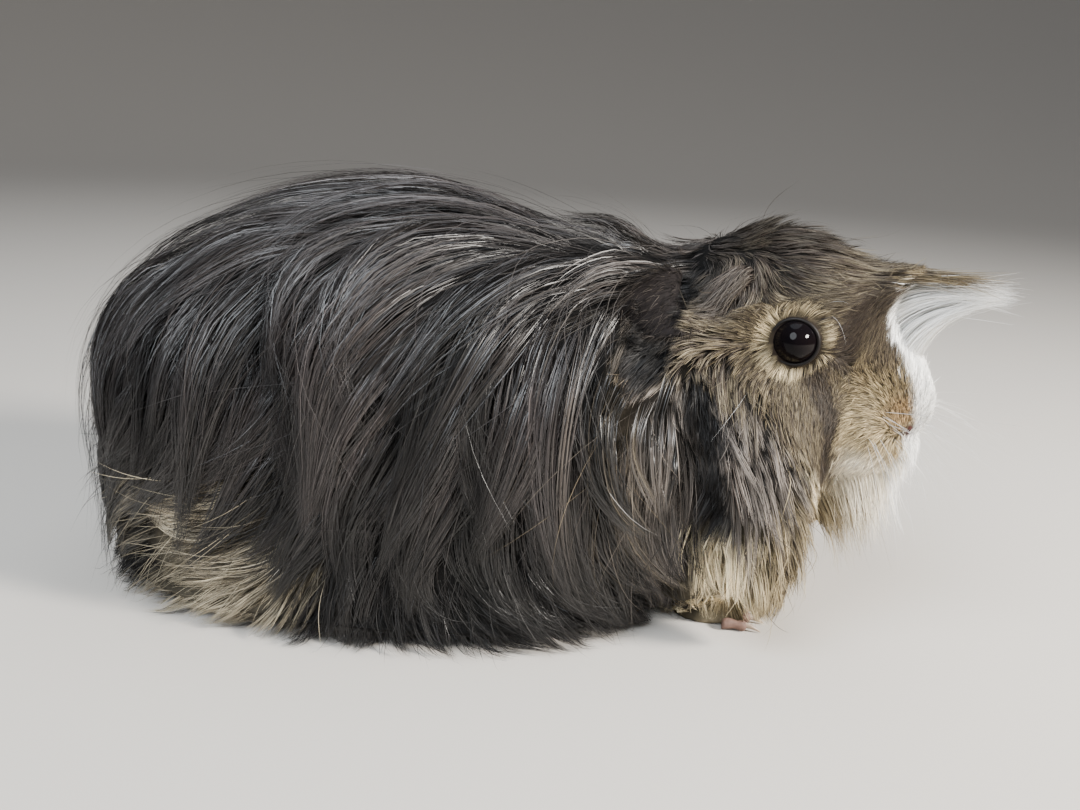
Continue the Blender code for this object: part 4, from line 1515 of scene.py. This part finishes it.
TRESSES = (
    Tress(
        "blaze", 1200, (41, 0, 18), (5, 7, 5),
        (0, 0, 7), (43.5, 0, 29), (56, -1, 37.5), (0.15, 0.3, 0.1), 0.05, 1.0,
    ),
    Tress(
        "forelock", 1600, (36, 0, 26), (5, 8, 8),
        (1, 0, 6), (43, 0, 34), (57, -1.5, 38), (0.1, 0.3, 0.2), 0.2, 1.4,
    ),
    Tress(
        "brow", 1500, (27, 0, 34), (9, 11, 5),
        (6, 0, 2.0), (41, 0, 37.0), (54, -1, 39.0), (0.2, 0.4, 0.3), 0.1, 1.8,
    ),
    Tress(
        "lip", 900, (49, 0, -10), (7, 8, 8),
        (2.5, 0, -1), (52, 0, -12), (53.5, 0, -17), (0.6, 0.9, 0.9), 0.3, 0.8,
    ),
    Tress(
        "beard", 2200, (41, 0, -21), (13, 13, 13),
        (3, 0, -3), (47, 0, -28), (52, 0, -36), (0.8, 0.9, 0.8), 0.2, 2.0,
    ),
    Tress(
        "ear_tuft", 520, (-2, 21, 22), (5, 5, 5),
        (-1, 3, 2), (-4, 27, 19), (-5, 28, 12), (1, 1, 1), 0.3, 2.4, True,
    ),
)


@dataclass
class Tresses:
    """Grows the tresses of the head."""

    skin_maker: Skin
    skin: bpy.types.Object
    markings_and_shade: MarkingsAndShade
    steps: int = 8
    width: float = 0.15 * MM

    def grow(self, tress: Tress, seed: int) -> Hairs:
        """Bends each hair of a tress from its root past the bow to the tip.

        Args:
            tress: Which tress.
            seed: Which random draws.

        Returns:
            Its hairs.
        """
        rng = np.random.default_rng(seed)
        roots, _ = self.skin_maker.sample(self.skin, 300_000, seed)
        h = HEAD.inward(roots)
        side = np.sign(h[:, 1:2]) if tress.paired else np.ones((len(h), 1))
        flip = np.concatenate([np.ones_like(side), side, np.ones_like(side)], 1)
        away = (h * flip - np.array(tress.middle) * MM) / (np.array(tress.spread) * MM)
        count = tress.hairs * (2 if tress.paired else 1)
        keep = np.resize(np.flatnonzero(np.linalg.norm(away, axis=1) < 1), count)
        roots, h, flip, away = roots[keep], h[keep], flip[keep], away[keep] * np.array(tress.spread)
        keeps = away * np.array(tress.fan)
        rise = h + np.array(tress.rise) * flip * MM
        bow = (np.array(tress.bow) + 0.5 * (keeps + away * np.minimum(tress.fan, 1.0))) * flip * MM
        tip = (np.array(tress.tip) + keeps + rng.normal(0, tress.loose, (count, 3))) * flip * MM
        reach = tress.shortest + (1 - tress.shortest) * rng.random((count, 1, 1)) ** 0.8
        t = np.linspace(0, 1, self.steps)[None, :, None] * reach
        a, b, c, d = h[:, None], rise[:, None], bow[:, None], tip[:, None]
        path = a * (1 - t) ** 3 + 3 * b * t * (1 - t) ** 2 + 3 * c * t**2 * (1 - t) + d * t**3
        path = HEAD.outward(path.reshape(-1, 3)).reshape(path.shape)
        wisp = rng.normal(0, 1, (count, 1, 3)) * (rng.random((count, 1, 1)) < 0.12) * 2.5 * MM
        path = path + wisp * t**2
        facing = unit(rng.normal(0, 0.6, (count, 1, 3)) + np.array([0.2, -0.6, 0.7]))
        profile = 1 - 0.85 * ramp(np.linspace(0, 1, self.steps), 0.4, 1.0)
        width = self.width * rng.uniform(0.7, 1.2, (count, 1)) * profile
        pelt = self.markings_and_shade.at(roots + rng.normal(0, 0.5, roots.shape) * MM)
        dark = self.markings_and_shade.palette.tick
        ticked = rng.random(count) < 0.8 * pelt.ticking
        main = mix(pelt.colour, np.broadcast_to(dark, pelt.colour.shape), 0.85 * ticked)
        banded = pelt.banding[:, None] * (1 - ramp(np.linspace(0, 1, self.steps), 0.25, 0.6))
        colour = mix(main[:, None] * rng.uniform(0.8, 1.15, (count, 1, 1)), dark, banded)
        return Hairs(path, np.broadcast_to(facing, path.shape), width, colour, Groom.patches(roots))

    def dress(self, finish: bpy.types.Material) -> list[bpy.types.Object]:
        """Grows every tress.

        Args:
            finish: The hair's material.

        Returns:
            The pieces.
        """
        pieces = []
        for number, tress in enumerate(TRESSES):
            pieces += lay_out(self.grow(tress, 70 + number), tress.name, finish)
        return pieces


@dataclass
class Whiskers:
    """Long, stiff, tapering hairs on the pads, the brows and the cheeks.

    Attributes:
        rows: Where each group grows in the head's axes, its way, its length and how many.
        width: A whisker's width at its root.
    """

    rows: tuple = (
        ((43.0, 13.5, 1.5), (0.90, 0.45, 0.10), 34, 6),
        ((42.0, 14.0, -4.0), (0.70, 0.65, -0.35), 36, 5),
        ((46.5, 10.5, -7.0), (0.85, 0.35, -0.50), 28, 5),
        ((49.5, 7.5, 2.5), (0.95, 0.30, 0.05), 24, 7),
        ((47.0, 9.5, -3.0), (0.95, 0.35, -0.30), 30, 6),
        ((20.0, 19.5, 20.5), (0.35, 0.75, 0.55), 16, 2),
        ((12.0, 27.0, -3.0), (-0.20, 0.95, -0.30), 14, 2),
    )
    width: float = 0.14 * MM
    steps: int = 14

    def build(self, finish: bpy.types.Material) -> bpy.types.Object:
        """Makes every whisker a thin three-sided spike.

        Args:
            finish: The whiskers' material.

        Returns:
            One piece with every whisker.
        """
        rng = np.random.default_rng(5)
        bm = bmesh.new()
        for side in (1, -1):
            for at, way, length, count in self.rows:
                for _ in range(count):
                    self.add(bm, np.array(at), np.array(way), length, side, rng)
        bmesh.ops.recalc_face_normals(bm, faces=bm.faces)
        mesh = bpy.data.meshes.new("whiskers")
        bm.to_mesh(mesh)
        bm.free()
        mesh.shade_smooth()
        mesh.materials.append(finish)
        return new_object("whiskers", mesh)

    def add(
        self,
        bm: bmesh.types.BMesh,
        at: np.ndarray,
        way: np.ndarray,
        length: float,
        side: int,
        rng: np.random.Generator,
    ) -> None:
        """Adds one whisker, drooping gently.

        Args:
            bm: Where it goes.
            at: Its root, in the head's axes and millimetres.
            way: The way it points.
            length: Its usual length in millimetres.
            side: 1 on the left and -1 on the right.
            rng: The random draws.
        """
        flip = np.array([1, side, 1])
        start = (at + rng.normal(0, 1.1, 3) - unit(way) * 1.5) * flip * MM
        way = unit(way + rng.normal(0, 0.16, 3)) * flip
        length = length * rng.uniform(0.6, 1.1) * MM
        sag = np.array([rng.normal(-0.05, 0.1), 0.0, rng.normal(-0.16, 0.12)])
        rings = []
        for k in range(self.steps):
            t = k / (self.steps - 1)
            middle = HEAD.outward(start + (way * t + sag * t * t) * length)
            along = HEAD.rotation() @ (way + 2 * sag * t)
            turn = Vector(along).to_track_quat("Z", "Y")
            radius = 0.5 * self.width * (1 - 0.85 * t) * min(1.0, length / (22 * MM))
            ring = [turn @ Vector((cos(a), sin(a), 0)) * radius for a in (0, 2 * pi / 3, 4 * pi / 3)]
            rings.append([bm.verts.new(Vector(middle) + spot) for spot in ring])
        for low, high in zip(rings, rings[1:]):
            for j in range(3):
                i = (j + 1) % 3
                bm.faces.new((low[j], low[i], high[i], high[j]))
        bm.faces.new(rings[-1])
        bm.faces.new(rings[0][::-1])


# ---- finishes --------------------------------------------------------------------------------
@dataclass(frozen=True)
class HairFinish:
    """Glossy hair that takes its colour from the markings and painted shade."""

    name: str
    roughness: float
    sheen: float
    gloss: float

    def material(self) -> bpy.types.Material:
        """Builds the shader.

        Returns:
            The material.
        """
        made = bpy.data.materials.new(self.name)
        made.use_nodes = True
        nodes, links = made.node_tree.nodes, made.node_tree.links
        shader = nodes["Principled BSDF"]
        markings_and_shade = nodes.new("ShaderNodeAttribute")
        markings_and_shade.attribute_name = COLOUR
        links.new(markings_and_shade.outputs["Color"], shader.inputs["Base Color"])
        shader.inputs["Roughness"].default_value = self.roughness
        shader.inputs["Specular IOR Level"].default_value = self.gloss
        shader.inputs["Sheen Weight"].default_value = self.sheen
        shader.inputs["Sheen Roughness"].default_value = 0.45
        return made


@dataclass(frozen=True)
class SkinFinish:
    """Skin under short fur: the markings and painted shade, broken up by fine fur-like bumps."""

    name: str
    bump: float
    fur_scale: float

    def material(self) -> bpy.types.Material:
        """Builds the shader.

        Returns:
            The material.
        """
        made = bpy.data.materials.new(self.name)
        made.use_nodes = True
        nodes, links = made.node_tree.nodes, made.node_tree.links
        shader = nodes["Principled BSDF"]
        markings_and_shade = nodes.new("ShaderNodeAttribute")
        markings_and_shade.attribute_name = COLOUR
        place = nodes.new("ShaderNodeTexCoord")
        grain = nodes.new("ShaderNodeTexNoise")
        grain.inputs["Scale"].default_value = self.fur_scale
        grain.inputs["Detail"].default_value = 6.0
        shade = nodes.new("ShaderNodeMix")
        shade.data_type, shade.blend_type = "RGBA", "MULTIPLY"
        shade.inputs["Factor"].default_value = 0.7
        bump = nodes.new("ShaderNodeBump")
        bump.inputs["Strength"].default_value = self.bump
        bump.inputs["Distance"].default_value = 0.0004
        links.new(place.outputs["Object"], grain.inputs["Vector"])
        links.new(markings_and_shade.outputs["Color"], shade.inputs["A"])
        links.new(grain.outputs["Fac"], shade.inputs["B"])
        links.new(shade.outputs["Result"], shader.inputs["Base Color"])
        links.new(grain.outputs["Fac"], bump.inputs["Height"])
        links.new(bump.outputs["Normal"], shader.inputs["Normal"])
        shader.inputs["Roughness"].default_value = 0.8
        shader.inputs["Specular IOR Level"].default_value = 0.15
        return made


@dataclass(frozen=True)
class GlossFinish:
    """A smooth, wet or horny surface of nearly one colour."""

    name: str
    inner: tuple[float, float, float]
    outer: tuple[float, float, float]
    scale: float
    roughness: float
    coat: float
    gloss: float

    def material(self) -> bpy.types.Material:
        """Builds the shader.

        Returns:
            The material.
        """
        made = bpy.data.materials.new(self.name)
        made.use_nodes = True
        nodes, links = made.node_tree.nodes, made.node_tree.links
        shader = nodes["Principled BSDF"]
        place = nodes.new("ShaderNodeTexCoord")
        grain = nodes.new("ShaderNodeTexNoise")
        grain.inputs["Scale"].default_value = self.scale
        ramp_node = nodes.new("ShaderNodeValToRGB")
        ramp_node.color_ramp.elements[0].color = (*self.inner, 1)
        ramp_node.color_ramp.elements[1].color = (*self.outer, 1)
        links.new(place.outputs["Object"], grain.inputs["Vector"])
        links.new(grain.outputs["Fac"], ramp_node.inputs["Fac"])
        links.new(ramp_node.outputs["Color"], shader.inputs["Base Color"])
        shader.inputs["Roughness"].default_value = self.roughness
        shader.inputs["Specular IOR Level"].default_value = self.gloss
        shader.inputs["Coat Weight"].default_value = self.coat
        shader.inputs["Coat Roughness"].default_value = 0.02
        return made


# ---- eyes ------------------------------------------------------------------------------------
@dataclass
class Eye:
    """An eyeball with its cornea, and the dark lid that rims it."""

    side: int
    word: str
    lid_radius: float = 5.6 * MM
    lid_thickness: float = 0.48 * MM

    def axes(self) -> Matrix:
        """From the eye's own axes, z out of the head, to the model's.

        Returns:
            The matrix.
        """
        place = Matrix.Translation((EYE[0], self.side * EYE[1], EYE[2]))
        outwards = Vector((0.10, self.side * 1.0, 0.10)).normalized()
        return HEAD.matrix() @ place @ outwards.to_track_quat("Z", "Y").to_matrix().to_4x4()

    def ball(self, finish: bpy.types.Material) -> bpy.types.Object:
        """The glossy ball.

        Args:
            finish: The eye's material.

        Returns:
            The ball.
        """
        bm = bmesh.new()
        bmesh.ops.create_uvsphere(bm, u_segments=48, v_segments=32, radius=EYE_RADIUS)
        for vertex in bm.verts:
            swell = max(0.0, vertex.co.z / EYE_RADIUS - 0.55)
            vertex.co.z += 0.9 * swell * swell * EYE_RADIUS * 0.8
        bm.transform(self.axes())
        mesh = bpy.data.meshes.new(f"eyeball_{self.word}")
        bm.to_mesh(mesh)
        bm.free()
        mesh.shade_smooth()
        mesh.materials.append(finish)
        return new_object(f"eyeball_{self.word}", mesh)

    def lid(self, finish: bpy.types.Material) -> bpy.types.Object:
        """The rim of the lids, drawn out to a corner at the front.

        Args:
            finish: The lid's material.

        Returns:
            The rim.
        """
        bm = bmesh.new()
        around, ring = 64, 10
        for k in range(around):
            turn = 2 * pi * k / around
            corner = max(0.0, cos(turn - radians(-28))) ** 14
            reach = self.lid_radius * (1 + 0.20 * corner)
            lift = EYE_RADIUS * 0.42 - corner * 1.3 * MM
            middle = Vector((cos(turn) * reach, sin(turn) * reach * 0.97, lift))
            out = Vector((cos(turn), sin(turn), 0))
            for j in range(ring):
                a = 2 * pi * j / ring
                thick = self.lid_thickness * (1 + 0.3 * corner)
                bm.verts.new(middle + out * cos(a) * thick + Vector((0, 0, 1)) * sin(a) * thick * 1.3)
        bm.verts.ensure_lookup_table()
        for k in range(around):
            for j in range(ring):
                a, b = k * ring, ((k + 1) % around) * ring
                i = (j + 1) % ring
                bm.faces.new((bm.verts[a + j], bm.verts[b + j], bm.verts[b + i], bm.verts[a + i]))
        if self.side < 0:
            mirror = Matrix.Diagonal((-1, 1, 1, 1))
            bm.transform(mirror)
        bm.transform(self.axes())
        bmesh.ops.recalc_face_normals(bm, faces=bm.faces)
        mesh = bpy.data.meshes.new(f"eyelid_{self.word}")
        bm.to_mesh(mesh)
        bm.free()
        mesh.shade_smooth()
        mesh.materials.append(finish)
        return new_object(f"eyelid_{self.word}", mesh)


# ---- ears ------------------------------------------------------------------------------------
@dataclass
class Ear:
    """A thin petal ear, folded out and down, with short fuzz on both faces and a fringe on its rim."""

    side: int
    word: str
    root: tuple[float, float, float] = (-0.013, 0.0185, 0.010)
    length: float = 19 * MM
    width: float = 17 * MM
    rise: float = radians(-8)
    fold: float = radians(92)
    lean: float = radians(34)
    thickness: float = 1.1 * MM
    fuzz: int = 1900

    def frame(self) -> Matrix:
        """From the ear's own axes to the model's."""
        place = HEAD.matrix() @ Matrix.Diagonal((1, self.side, 1, 1)) @ Matrix.Translation(self.root)
        return place @ Matrix.Rotation(self.lean, 4, "Y")

    def spot(self, along: float, across: float) -> Vector:
        """A place on the ear: along runs 0 to 1 from root to tip, across -1 to 1.

        Args:
            along: How far out.
            across: How far to the side.

        Returns:
            The place in the ear's own axes.
        """
        half = self.width / 2 * np.sqrt(max(0.0, 1 - ((along - 0.45) / 0.565) ** 2))
        bend = self.rise + (self.fold - self.rise) * along
        turned = self.length / (self.fold - self.rise)
        out = turned * (sin(bend) - sin(self.rise))
        down = turned * (cos(self.rise) - cos(bend))
        cup = 3.0 * MM * across * across * (1 - 0.5 * along)
        cup += 0.6 * MM * sin(9 * along + 2 * across) * abs(across)
        return Vector((across * half - 0.18 * down, out + cup * sin(bend), cup * cos(bend) - down))

    def build(self, finish: bpy.types.Material) -> bpy.types.Object:
        """Bends a fine grid into the ear and gives it its thickness.

        Args:
            finish: The ear's material.

        Returns:
            The ear.
        """
        bm = bmesh.new()
        bmesh.ops.create_grid(bm, x_segments=36, y_segments=30, size=0.5)
        for vertex in bm.verts:
            vertex.co = self.spot(vertex.co.x + 0.5, vertex.co.y * 2)
        bm.transform(self.frame())
        mesh = bpy.data.meshes.new(f"ear_shell_{self.word}")
        bm.to_mesh(mesh)
        bm.free()
        ear = new_object(f"ear_shell_{self.word}", mesh)
        wall = ear.modifiers.new("wall", "SOLIDIFY")
        wall.thickness, wall.offset = self.thickness, 0.0
        applied(ear)
        bm = bmesh.new()
        bm.from_mesh(ear.data)
        bmesh.ops.recalc_face_normals(bm, faces=bm.faces)
        bm.to_mesh(ear.data)
        bm.free()
        ear.data.shade_smooth()
        ear.data.materials.append(finish)
        return ear

    def fringe(self, palette: Palette) -> Hairs:
        """Short hairs that lie along both faces of the ear and stand out past its rim.

        Args:
            palette: The coat's colours.

        Returns:
            The hairs.
        """
        rng = np.random.default_rng(91 + self.side)
        steps = 5
        t = np.linspace(0, 1, steps)[:, None]
        frame = self.frame()
        paths, facings = [], []
        for _ in range(self.fuzz):
            along, across = rng.random() ** 0.8, rng.uniform(-1, 1)
            if rng.random() < 0.3:
                across = np.sign(across) * rng.uniform(0.85, 1.0)
            here = np.array(frame @ self.spot(along, across))
            ahead = np.array(frame @ self.spot(along + 0.04, across * 1.02)) - here
            aside = np.array(frame @ self.spot(along, across + 0.04)) - here
            out = unit(np.cross(ahead, aside)) * (1 if rng.random() < 0.5 else -1)
            way = unit(unit(ahead) + 0.5 * across * unit(aside) + 0.25 * rng.normal(size=3) + 0.30 * out)
            length = rng.uniform(2.2, 4.5) * MM * (1.3 if abs(across) > 0.85 else 1.0)
            droop = np.array([0, 0, -0.25]) * length
            paths.append(here + out * 0.45 * MM + way * length * t + droop * t * t)
            facings.append(np.tile(unit(out + 0.4 * rng.normal(size=3)), (steps, 1)))
        path, facing = np.array(paths), np.array(facings)
        width = 0.15 * MM * rng.uniform(0.7, 1.2, (self.fuzz, 1)) * np.linspace(1.0, 0.25, steps)
        grey = mix(palette.black * 0.35, palette.smoke, 0.38 * rng.random(self.fuzz) ** 3)
        colour = np.repeat(grey[:, None], steps, axis=1)
        return Hairs(path, facing, width, colour, Groom.patches(path[:, 0]))


# ---- claws -----------------------------------------------------------------------------------
@dataclass
class Paw:
    """The toes of one paw, and the claws curved over their tips."""

    name: str
    side: int
    root: tuple[float, float]
    foot_length: float
    toes: int
    spread: float
    toe_length: float
    toe_radius: float = 1.45 * MM
    claw: float = 4.8 * MM

    def placed(self, spot: np.ndarray) -> tuple[float, float, float]:
        """A place of the paw, x forward from its root and y outwards, in the model."""
        return (self.root[0] + spot[0], self.side * (self.root[1] + spot[1]), max(spot[2], 0.05 * MM))

    def base(self, k: int) -> tuple[np.ndarray, float]:
        """Where a toe ends and its claw begins, and how far the toe turns outwards.

        Args:
            k: Which toe, from the inner one.

        Returns:
            The place, and the turn from -0.5 to 0.5.
        """
        share = k / (self.toes - 1) - 0.5
        reach = 0.55 * self.foot_length + self.toe_length * (1.0 - 0.9 * share * share)
        return np.array([reach + 1.6 * MM, share * self.spread * 1.5, self.toe_radius * 1.05]), share

    def tube(
        self, bm: bmesh.types.BMesh, middles: list[np.ndarray], radii: list[float], narrow: float
    ) -> None:
        """Adds one closed, tapering tube.

        Args:
            bm: Where the tube goes.
            middles: The places that it runs through.
            radii: Its radius at each.
            narrow: Its breadth as a share of its height.
        """
        around = 12
        rings = []
        for middle, radius in zip(middles, radii):
            turns = [2 * pi * i / around for i in range(around)]
            spots = [middle + np.array([0, narrow * cos(a), sin(a)]) * radius for a in turns]
            rings.append([bm.verts.new(self.placed(spot)) for spot in spots])
        for low, high in zip(rings, rings[1:]):
            for i in range(around):
                after = (i + 1) % around
                bm.faces.new((low[i], low[after], high[after], high[i]))
        bm.faces.new(rings[0][::-1])
        bm.faces.new(rings[-1])

    def finished(self, bm: bmesh.types.BMesh, name: str, finish: bpy.types.Material) -> bpy.types.Object:
        """Turns the tubes into an object.

        Args:
            bm: The tubes.
            name: The piece's name.
            finish: Its material.

        Returns:
            The piece.
        """
        bmesh.ops.recalc_face_normals(bm, faces=bm.faces)
        mesh = bpy.data.meshes.new(name)
        bm.to_mesh(mesh)
        bm.free()
        mesh.shade_smooth()
        mesh.materials.append(finish)
        return new_object(name, mesh)

    def claws(self, finish: bpy.types.Material) -> bpy.types.Object:
        """Makes a tapered, downward-curving claw for each toe.

        Args:
            finish: The claws' material.

        Returns:
            All of the paw's claws.
        """
        bm = bmesh.new()
        for k in range(self.toes):
            base, share = self.base(k)
            steps = np.linspace(0, 1, 8)
            middles = [
                base + np.array([self.claw * t - 1.2 * MM, share * MM * t, (0.35 - 1.5 * t * t) * MM])
                for t in steps
            ]
            self.tube(bm, middles, [0.85 * MM * (1 - t) ** 0.7 + 0.10 * MM for t in steps], 0.75)
        return self.finished(bm, f"{self.name}_claws", finish)

    def bare_toes(self, finish: bpy.types.Material) -> bpy.types.Object:
        """Makes a rounded toe, with one knuckle, under the root of each claw.

        Args:
            finish: The toes' material.

        Returns:
            All of the paw's toes.
        """
        bm = bmesh.new()
        for k in range(self.toes):
            base, _ = self.base(k)
            steps = np.linspace(0, 1, 11)
            arch = [0.7 * sin(pi * t) * (1 - t) for t in steps]
            middles = [base + np.array([-7.0 * (1 - t), 0, a]) * MM for t, a in zip(steps, arch)]
            knuckle = [1 + 0.10 * sin(3 * pi * t) for t in steps]
            close = [np.sqrt(max(0.02, 1 - max(0.0, (t - 0.78) / 0.22) ** 2)) for t in steps]
            self.tube(bm, middles, [self.toe_radius * a * b for a, b in zip(knuckle, close)], 0.95)
        return self.finished(bm, f"{self.name}_toes", finish)


# ---- stage -----------------------------------------------------------------------------------
@dataclass
class Studio:
    """The pale floor, the soft lights and the camera."""

    eye_height: float = 0.135
    camera_at: tuple[float, float] = (0.037, -0.260)
    heading: float = radians(5.0)
    pitch: float = radians(17.3)
    roll: float = radians(3.3)
    lens: float = 32.1
    floor_radius: float = 4.0
    flat_radius: float = 1.4

    def build(self) -> None:
        """Sets up everything that isn't the animal."""
        self.floor()
        self.camera()
        self.softbox("sun", (0.66, -0.22, 0.45), (0.09, -0.03, 0.06), 0.16, 19.0, (1.0, 0.95, 0.88))
        self.softbox("window", (-0.20, -0.50, 0.72), (0.0, 0.0, 0.08), 0.62, 13.5, (0.88, 0.94, 1.0))
        self.softbox("sky", (0.05, 0.20, 0.85), (0.02, 0.0, 0.08), 0.60, 2.5, (0.86, 0.92, 1.0))
        world = bpy.data.worlds.new("room")
        bpy.context.scene.world = world
        world.use_nodes = True
        world.node_tree.nodes["Background"].inputs["Color"].default_value = (0.90, 0.93, 1.0, 1)
        world.node_tree.nodes["Background"].inputs["Strength"].default_value = 0.22

    def floor(self) -> None:
        """A plain pale floor that rises softly all round."""
        bm = bmesh.new()
        rings, around = 24, 64
        last = None
        for k in range(1, rings + 1):
            radius = self.floor_radius * k / rings
            rise = 0.35 * max(0.0, radius - self.flat_radius) ** 2
            turns = [2 * pi * j / around for j in range(around)]
            ring = [bm.verts.new((radius * cos(a), radius * sin(a), rise)) for a in turns]
            if last is None:
                bm.faces.new(ring)
            else:
                for j in range(around):
                    after = (j + 1) % around
                    bm.faces.new((last[j], ring[j], ring[after], last[after]))
            last = ring
        mesh = bpy.data.meshes.new("floor")
        bm.to_mesh(mesh)
        bm.free()
        mesh.shade_smooth()
        floor = new_object("floor", mesh)
        made = bpy.data.materials.new("pale_floor")
        made.use_nodes = True
        shader = made.node_tree.nodes["Principled BSDF"]
        shader.inputs["Base Color"].default_value = (0.50, 0.47, 0.43, 1)
        shader.inputs["Roughness"].default_value = 0.9
        mesh.materials.append(made)

    def camera(self) -> None:
        """The camera, low beside the animal's right."""
        data = bpy.data.cameras.new("camera")
        data.lens, data.sensor_width, data.clip_start = self.lens, 36.0, 0.005
        camera = bpy.data.objects.new("camera", data)
        bpy.context.scene.collection.objects.link(camera)
        aim = Matrix.Rotation(self.heading, 4, "Z")
        aim = aim @ Matrix.Rotation(radians(90) - self.pitch, 4, "X") @ Matrix.Rotation(self.roll, 4, "Z")
        camera.matrix_world = Matrix.Translation((*self.camera_at, self.eye_height)) @ aim
        bpy.context.scene.camera = camera

    @staticmethod
    def softbox(name: str, at: tuple, target: tuple, size: float, power: float, colour: tuple) -> None:
        """A square area light turned to a target.

        Args:
            name: The light's name.
            at: Where it is.
            target: What it faces.
            size: Its breadth.
            power: Its power in watts.
            colour: Its colour.
        """
        data = bpy.data.lights.new(name, "AREA")
        data.shape, data.size, data.energy, data.color = "DISK", size, power, colour
        light = bpy.data.objects.new(name, data)
        light.location = at
        light.rotation_euler = (Vector(target) - Vector(at)).to_track_quat("-Z", "Y").to_euler()
        bpy.context.scene.collection.objects.link(light)


# ---- assembly --------------------------------------------------------------------------------
def share(piece: bpy.types.Object, slot: str, *replaced: str) -> None:
    """Hands a finished piece to the frame.

    Args:
        piece: The piece.
        slot: Its material's slot; not used.
        replaced: The nodes that it stands for.
    """
    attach(piece, "root")
    if replaced:
        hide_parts(*replaced)


def main() -> None:
    """Builds the animal piece by piece."""
    logging.basicConfig(level=logging.INFO, format="%(message)s")
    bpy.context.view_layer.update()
    Studio().build()

    markings_and_shade = MarkingsAndShade(Palette())
    chart = CombingChart(BODY_STROKES + HEAD_STROKES)
    outline = Outline().build()
    LOG.info("outline: %d points", len(outline.surface))
    skin_maker = Skin(outline, chart, markings_and_shade)
    skin = skin_maker.build()
    skin.data.materials.append(SkinFinish("skin_fur", 0.6, 900.0).material())
    share(skin, "face_coat", *FLESH, *LEGS)
    LOG.info("skin: %d faces", len(skin.data.polygons))

    groom = Groom(outline, skin_maker, skin, chart, markings_and_shade)
    silky = HairFinish("silky_hair", 0.42, 0.02, 0.66).material()
    soft = HairFinish("soft_fur", 0.58, 0.06, 0.30).material()
    downy = HairFinish("ear_down", 0.75, 0.0, 0.08).material()
    for cut, finish, slot in (
        (UNDER_FUR, soft, "face_coat"),
        (SHORT_FUR, soft, "face_coat"),
        (MIDDLE_FUR, soft, "face_coat"),
        (LONG_COAT, silky, "dark_coat"),
        (LOOSE_HAIR, soft, "dark_coat"),
        (FLYAWAYS, soft, "dark_coat"),
    ):
        for piece in groom.dress(cut, finish):
            share(piece, slot)
    for piece in Tresses(skin_maker, skin, markings_and_shade).dress(soft):
        share(piece, "pale_coat", *(["forelock"] if piece.name == "forelock_1" else []))

    wet = GlossFinish(
        "wet_eye", (0.002, 0.002, 0.003), (0.005, 0.003, 0.003), 300.0, 0.03, 0.0, 0.09
    ).material()
    rim = GlossFinish(
        "lid_skin", (0.004, 0.003, 0.003), (0.008, 0.006, 0.005), 1500.0, 0.50, 0.0, 0.20
    ).material()
    thin = GlossFinish(
        "ear_skin", (0.004, 0.003, 0.003), (0.012, 0.009, 0.009), 700.0, 0.80, 0.0, 0.15
    ).material()
    horn = GlossFinish(
        "claw_horn", (0.20, 0.14, 0.10), (0.42, 0.33, 0.25), 900.0, 0.35, 0.2, 0.5
    ).material()
    sole = GlossFinish(
        "toe_skin", (0.10, 0.060, 0.048), (0.22, 0.135, 0.105), 1200.0, 0.6, 0.0, 0.25
    ).material()
    stiff = GlossFinish(
        "whisker", (0.62, 0.60, 0.58), (0.80, 0.79, 0.78), 200.0, 0.35, 0.0, 0.5
    ).material()
    for side, word in ((1, "left"), (-1, "right")):
        eye = Eye(side, word)
        share(eye.ball(wet), "eye", f"eye_{word}")
        share(eye.lid(rim), "bare_skin")
        ear = Ear(side, word, fold=radians(92 if side < 0 else 120))
        share(ear.build(thin), "bare_skin", f"ear_{word}")
        for piece in lay_out(ear.fringe(markings_and_shade.palette), f"ear_fringe_{word}", downy):
            share(piece, "dark_coat")
        fore = Paw(f"fore_{word}", side, (0.064, 0.013), 9.5 * MM, 4, 9.5 * MM, 7.5 * MM)
        hind = Paw(f"hind_{word}", side, (-0.062, 0.030), 19 * MM, 3, 8.5 * MM, 9.5 * MM)
        for paw in (fore, hind):
            share(paw.claws(horn), "foot")
            share(paw.bare_toes(sole), "foot")
        LOG.info("eye, lid, ear and toes: %s", word)
    share(Whiskers().build(stiff), "pale_coat")

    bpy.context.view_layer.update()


if __name__ == "__main__":
    main()
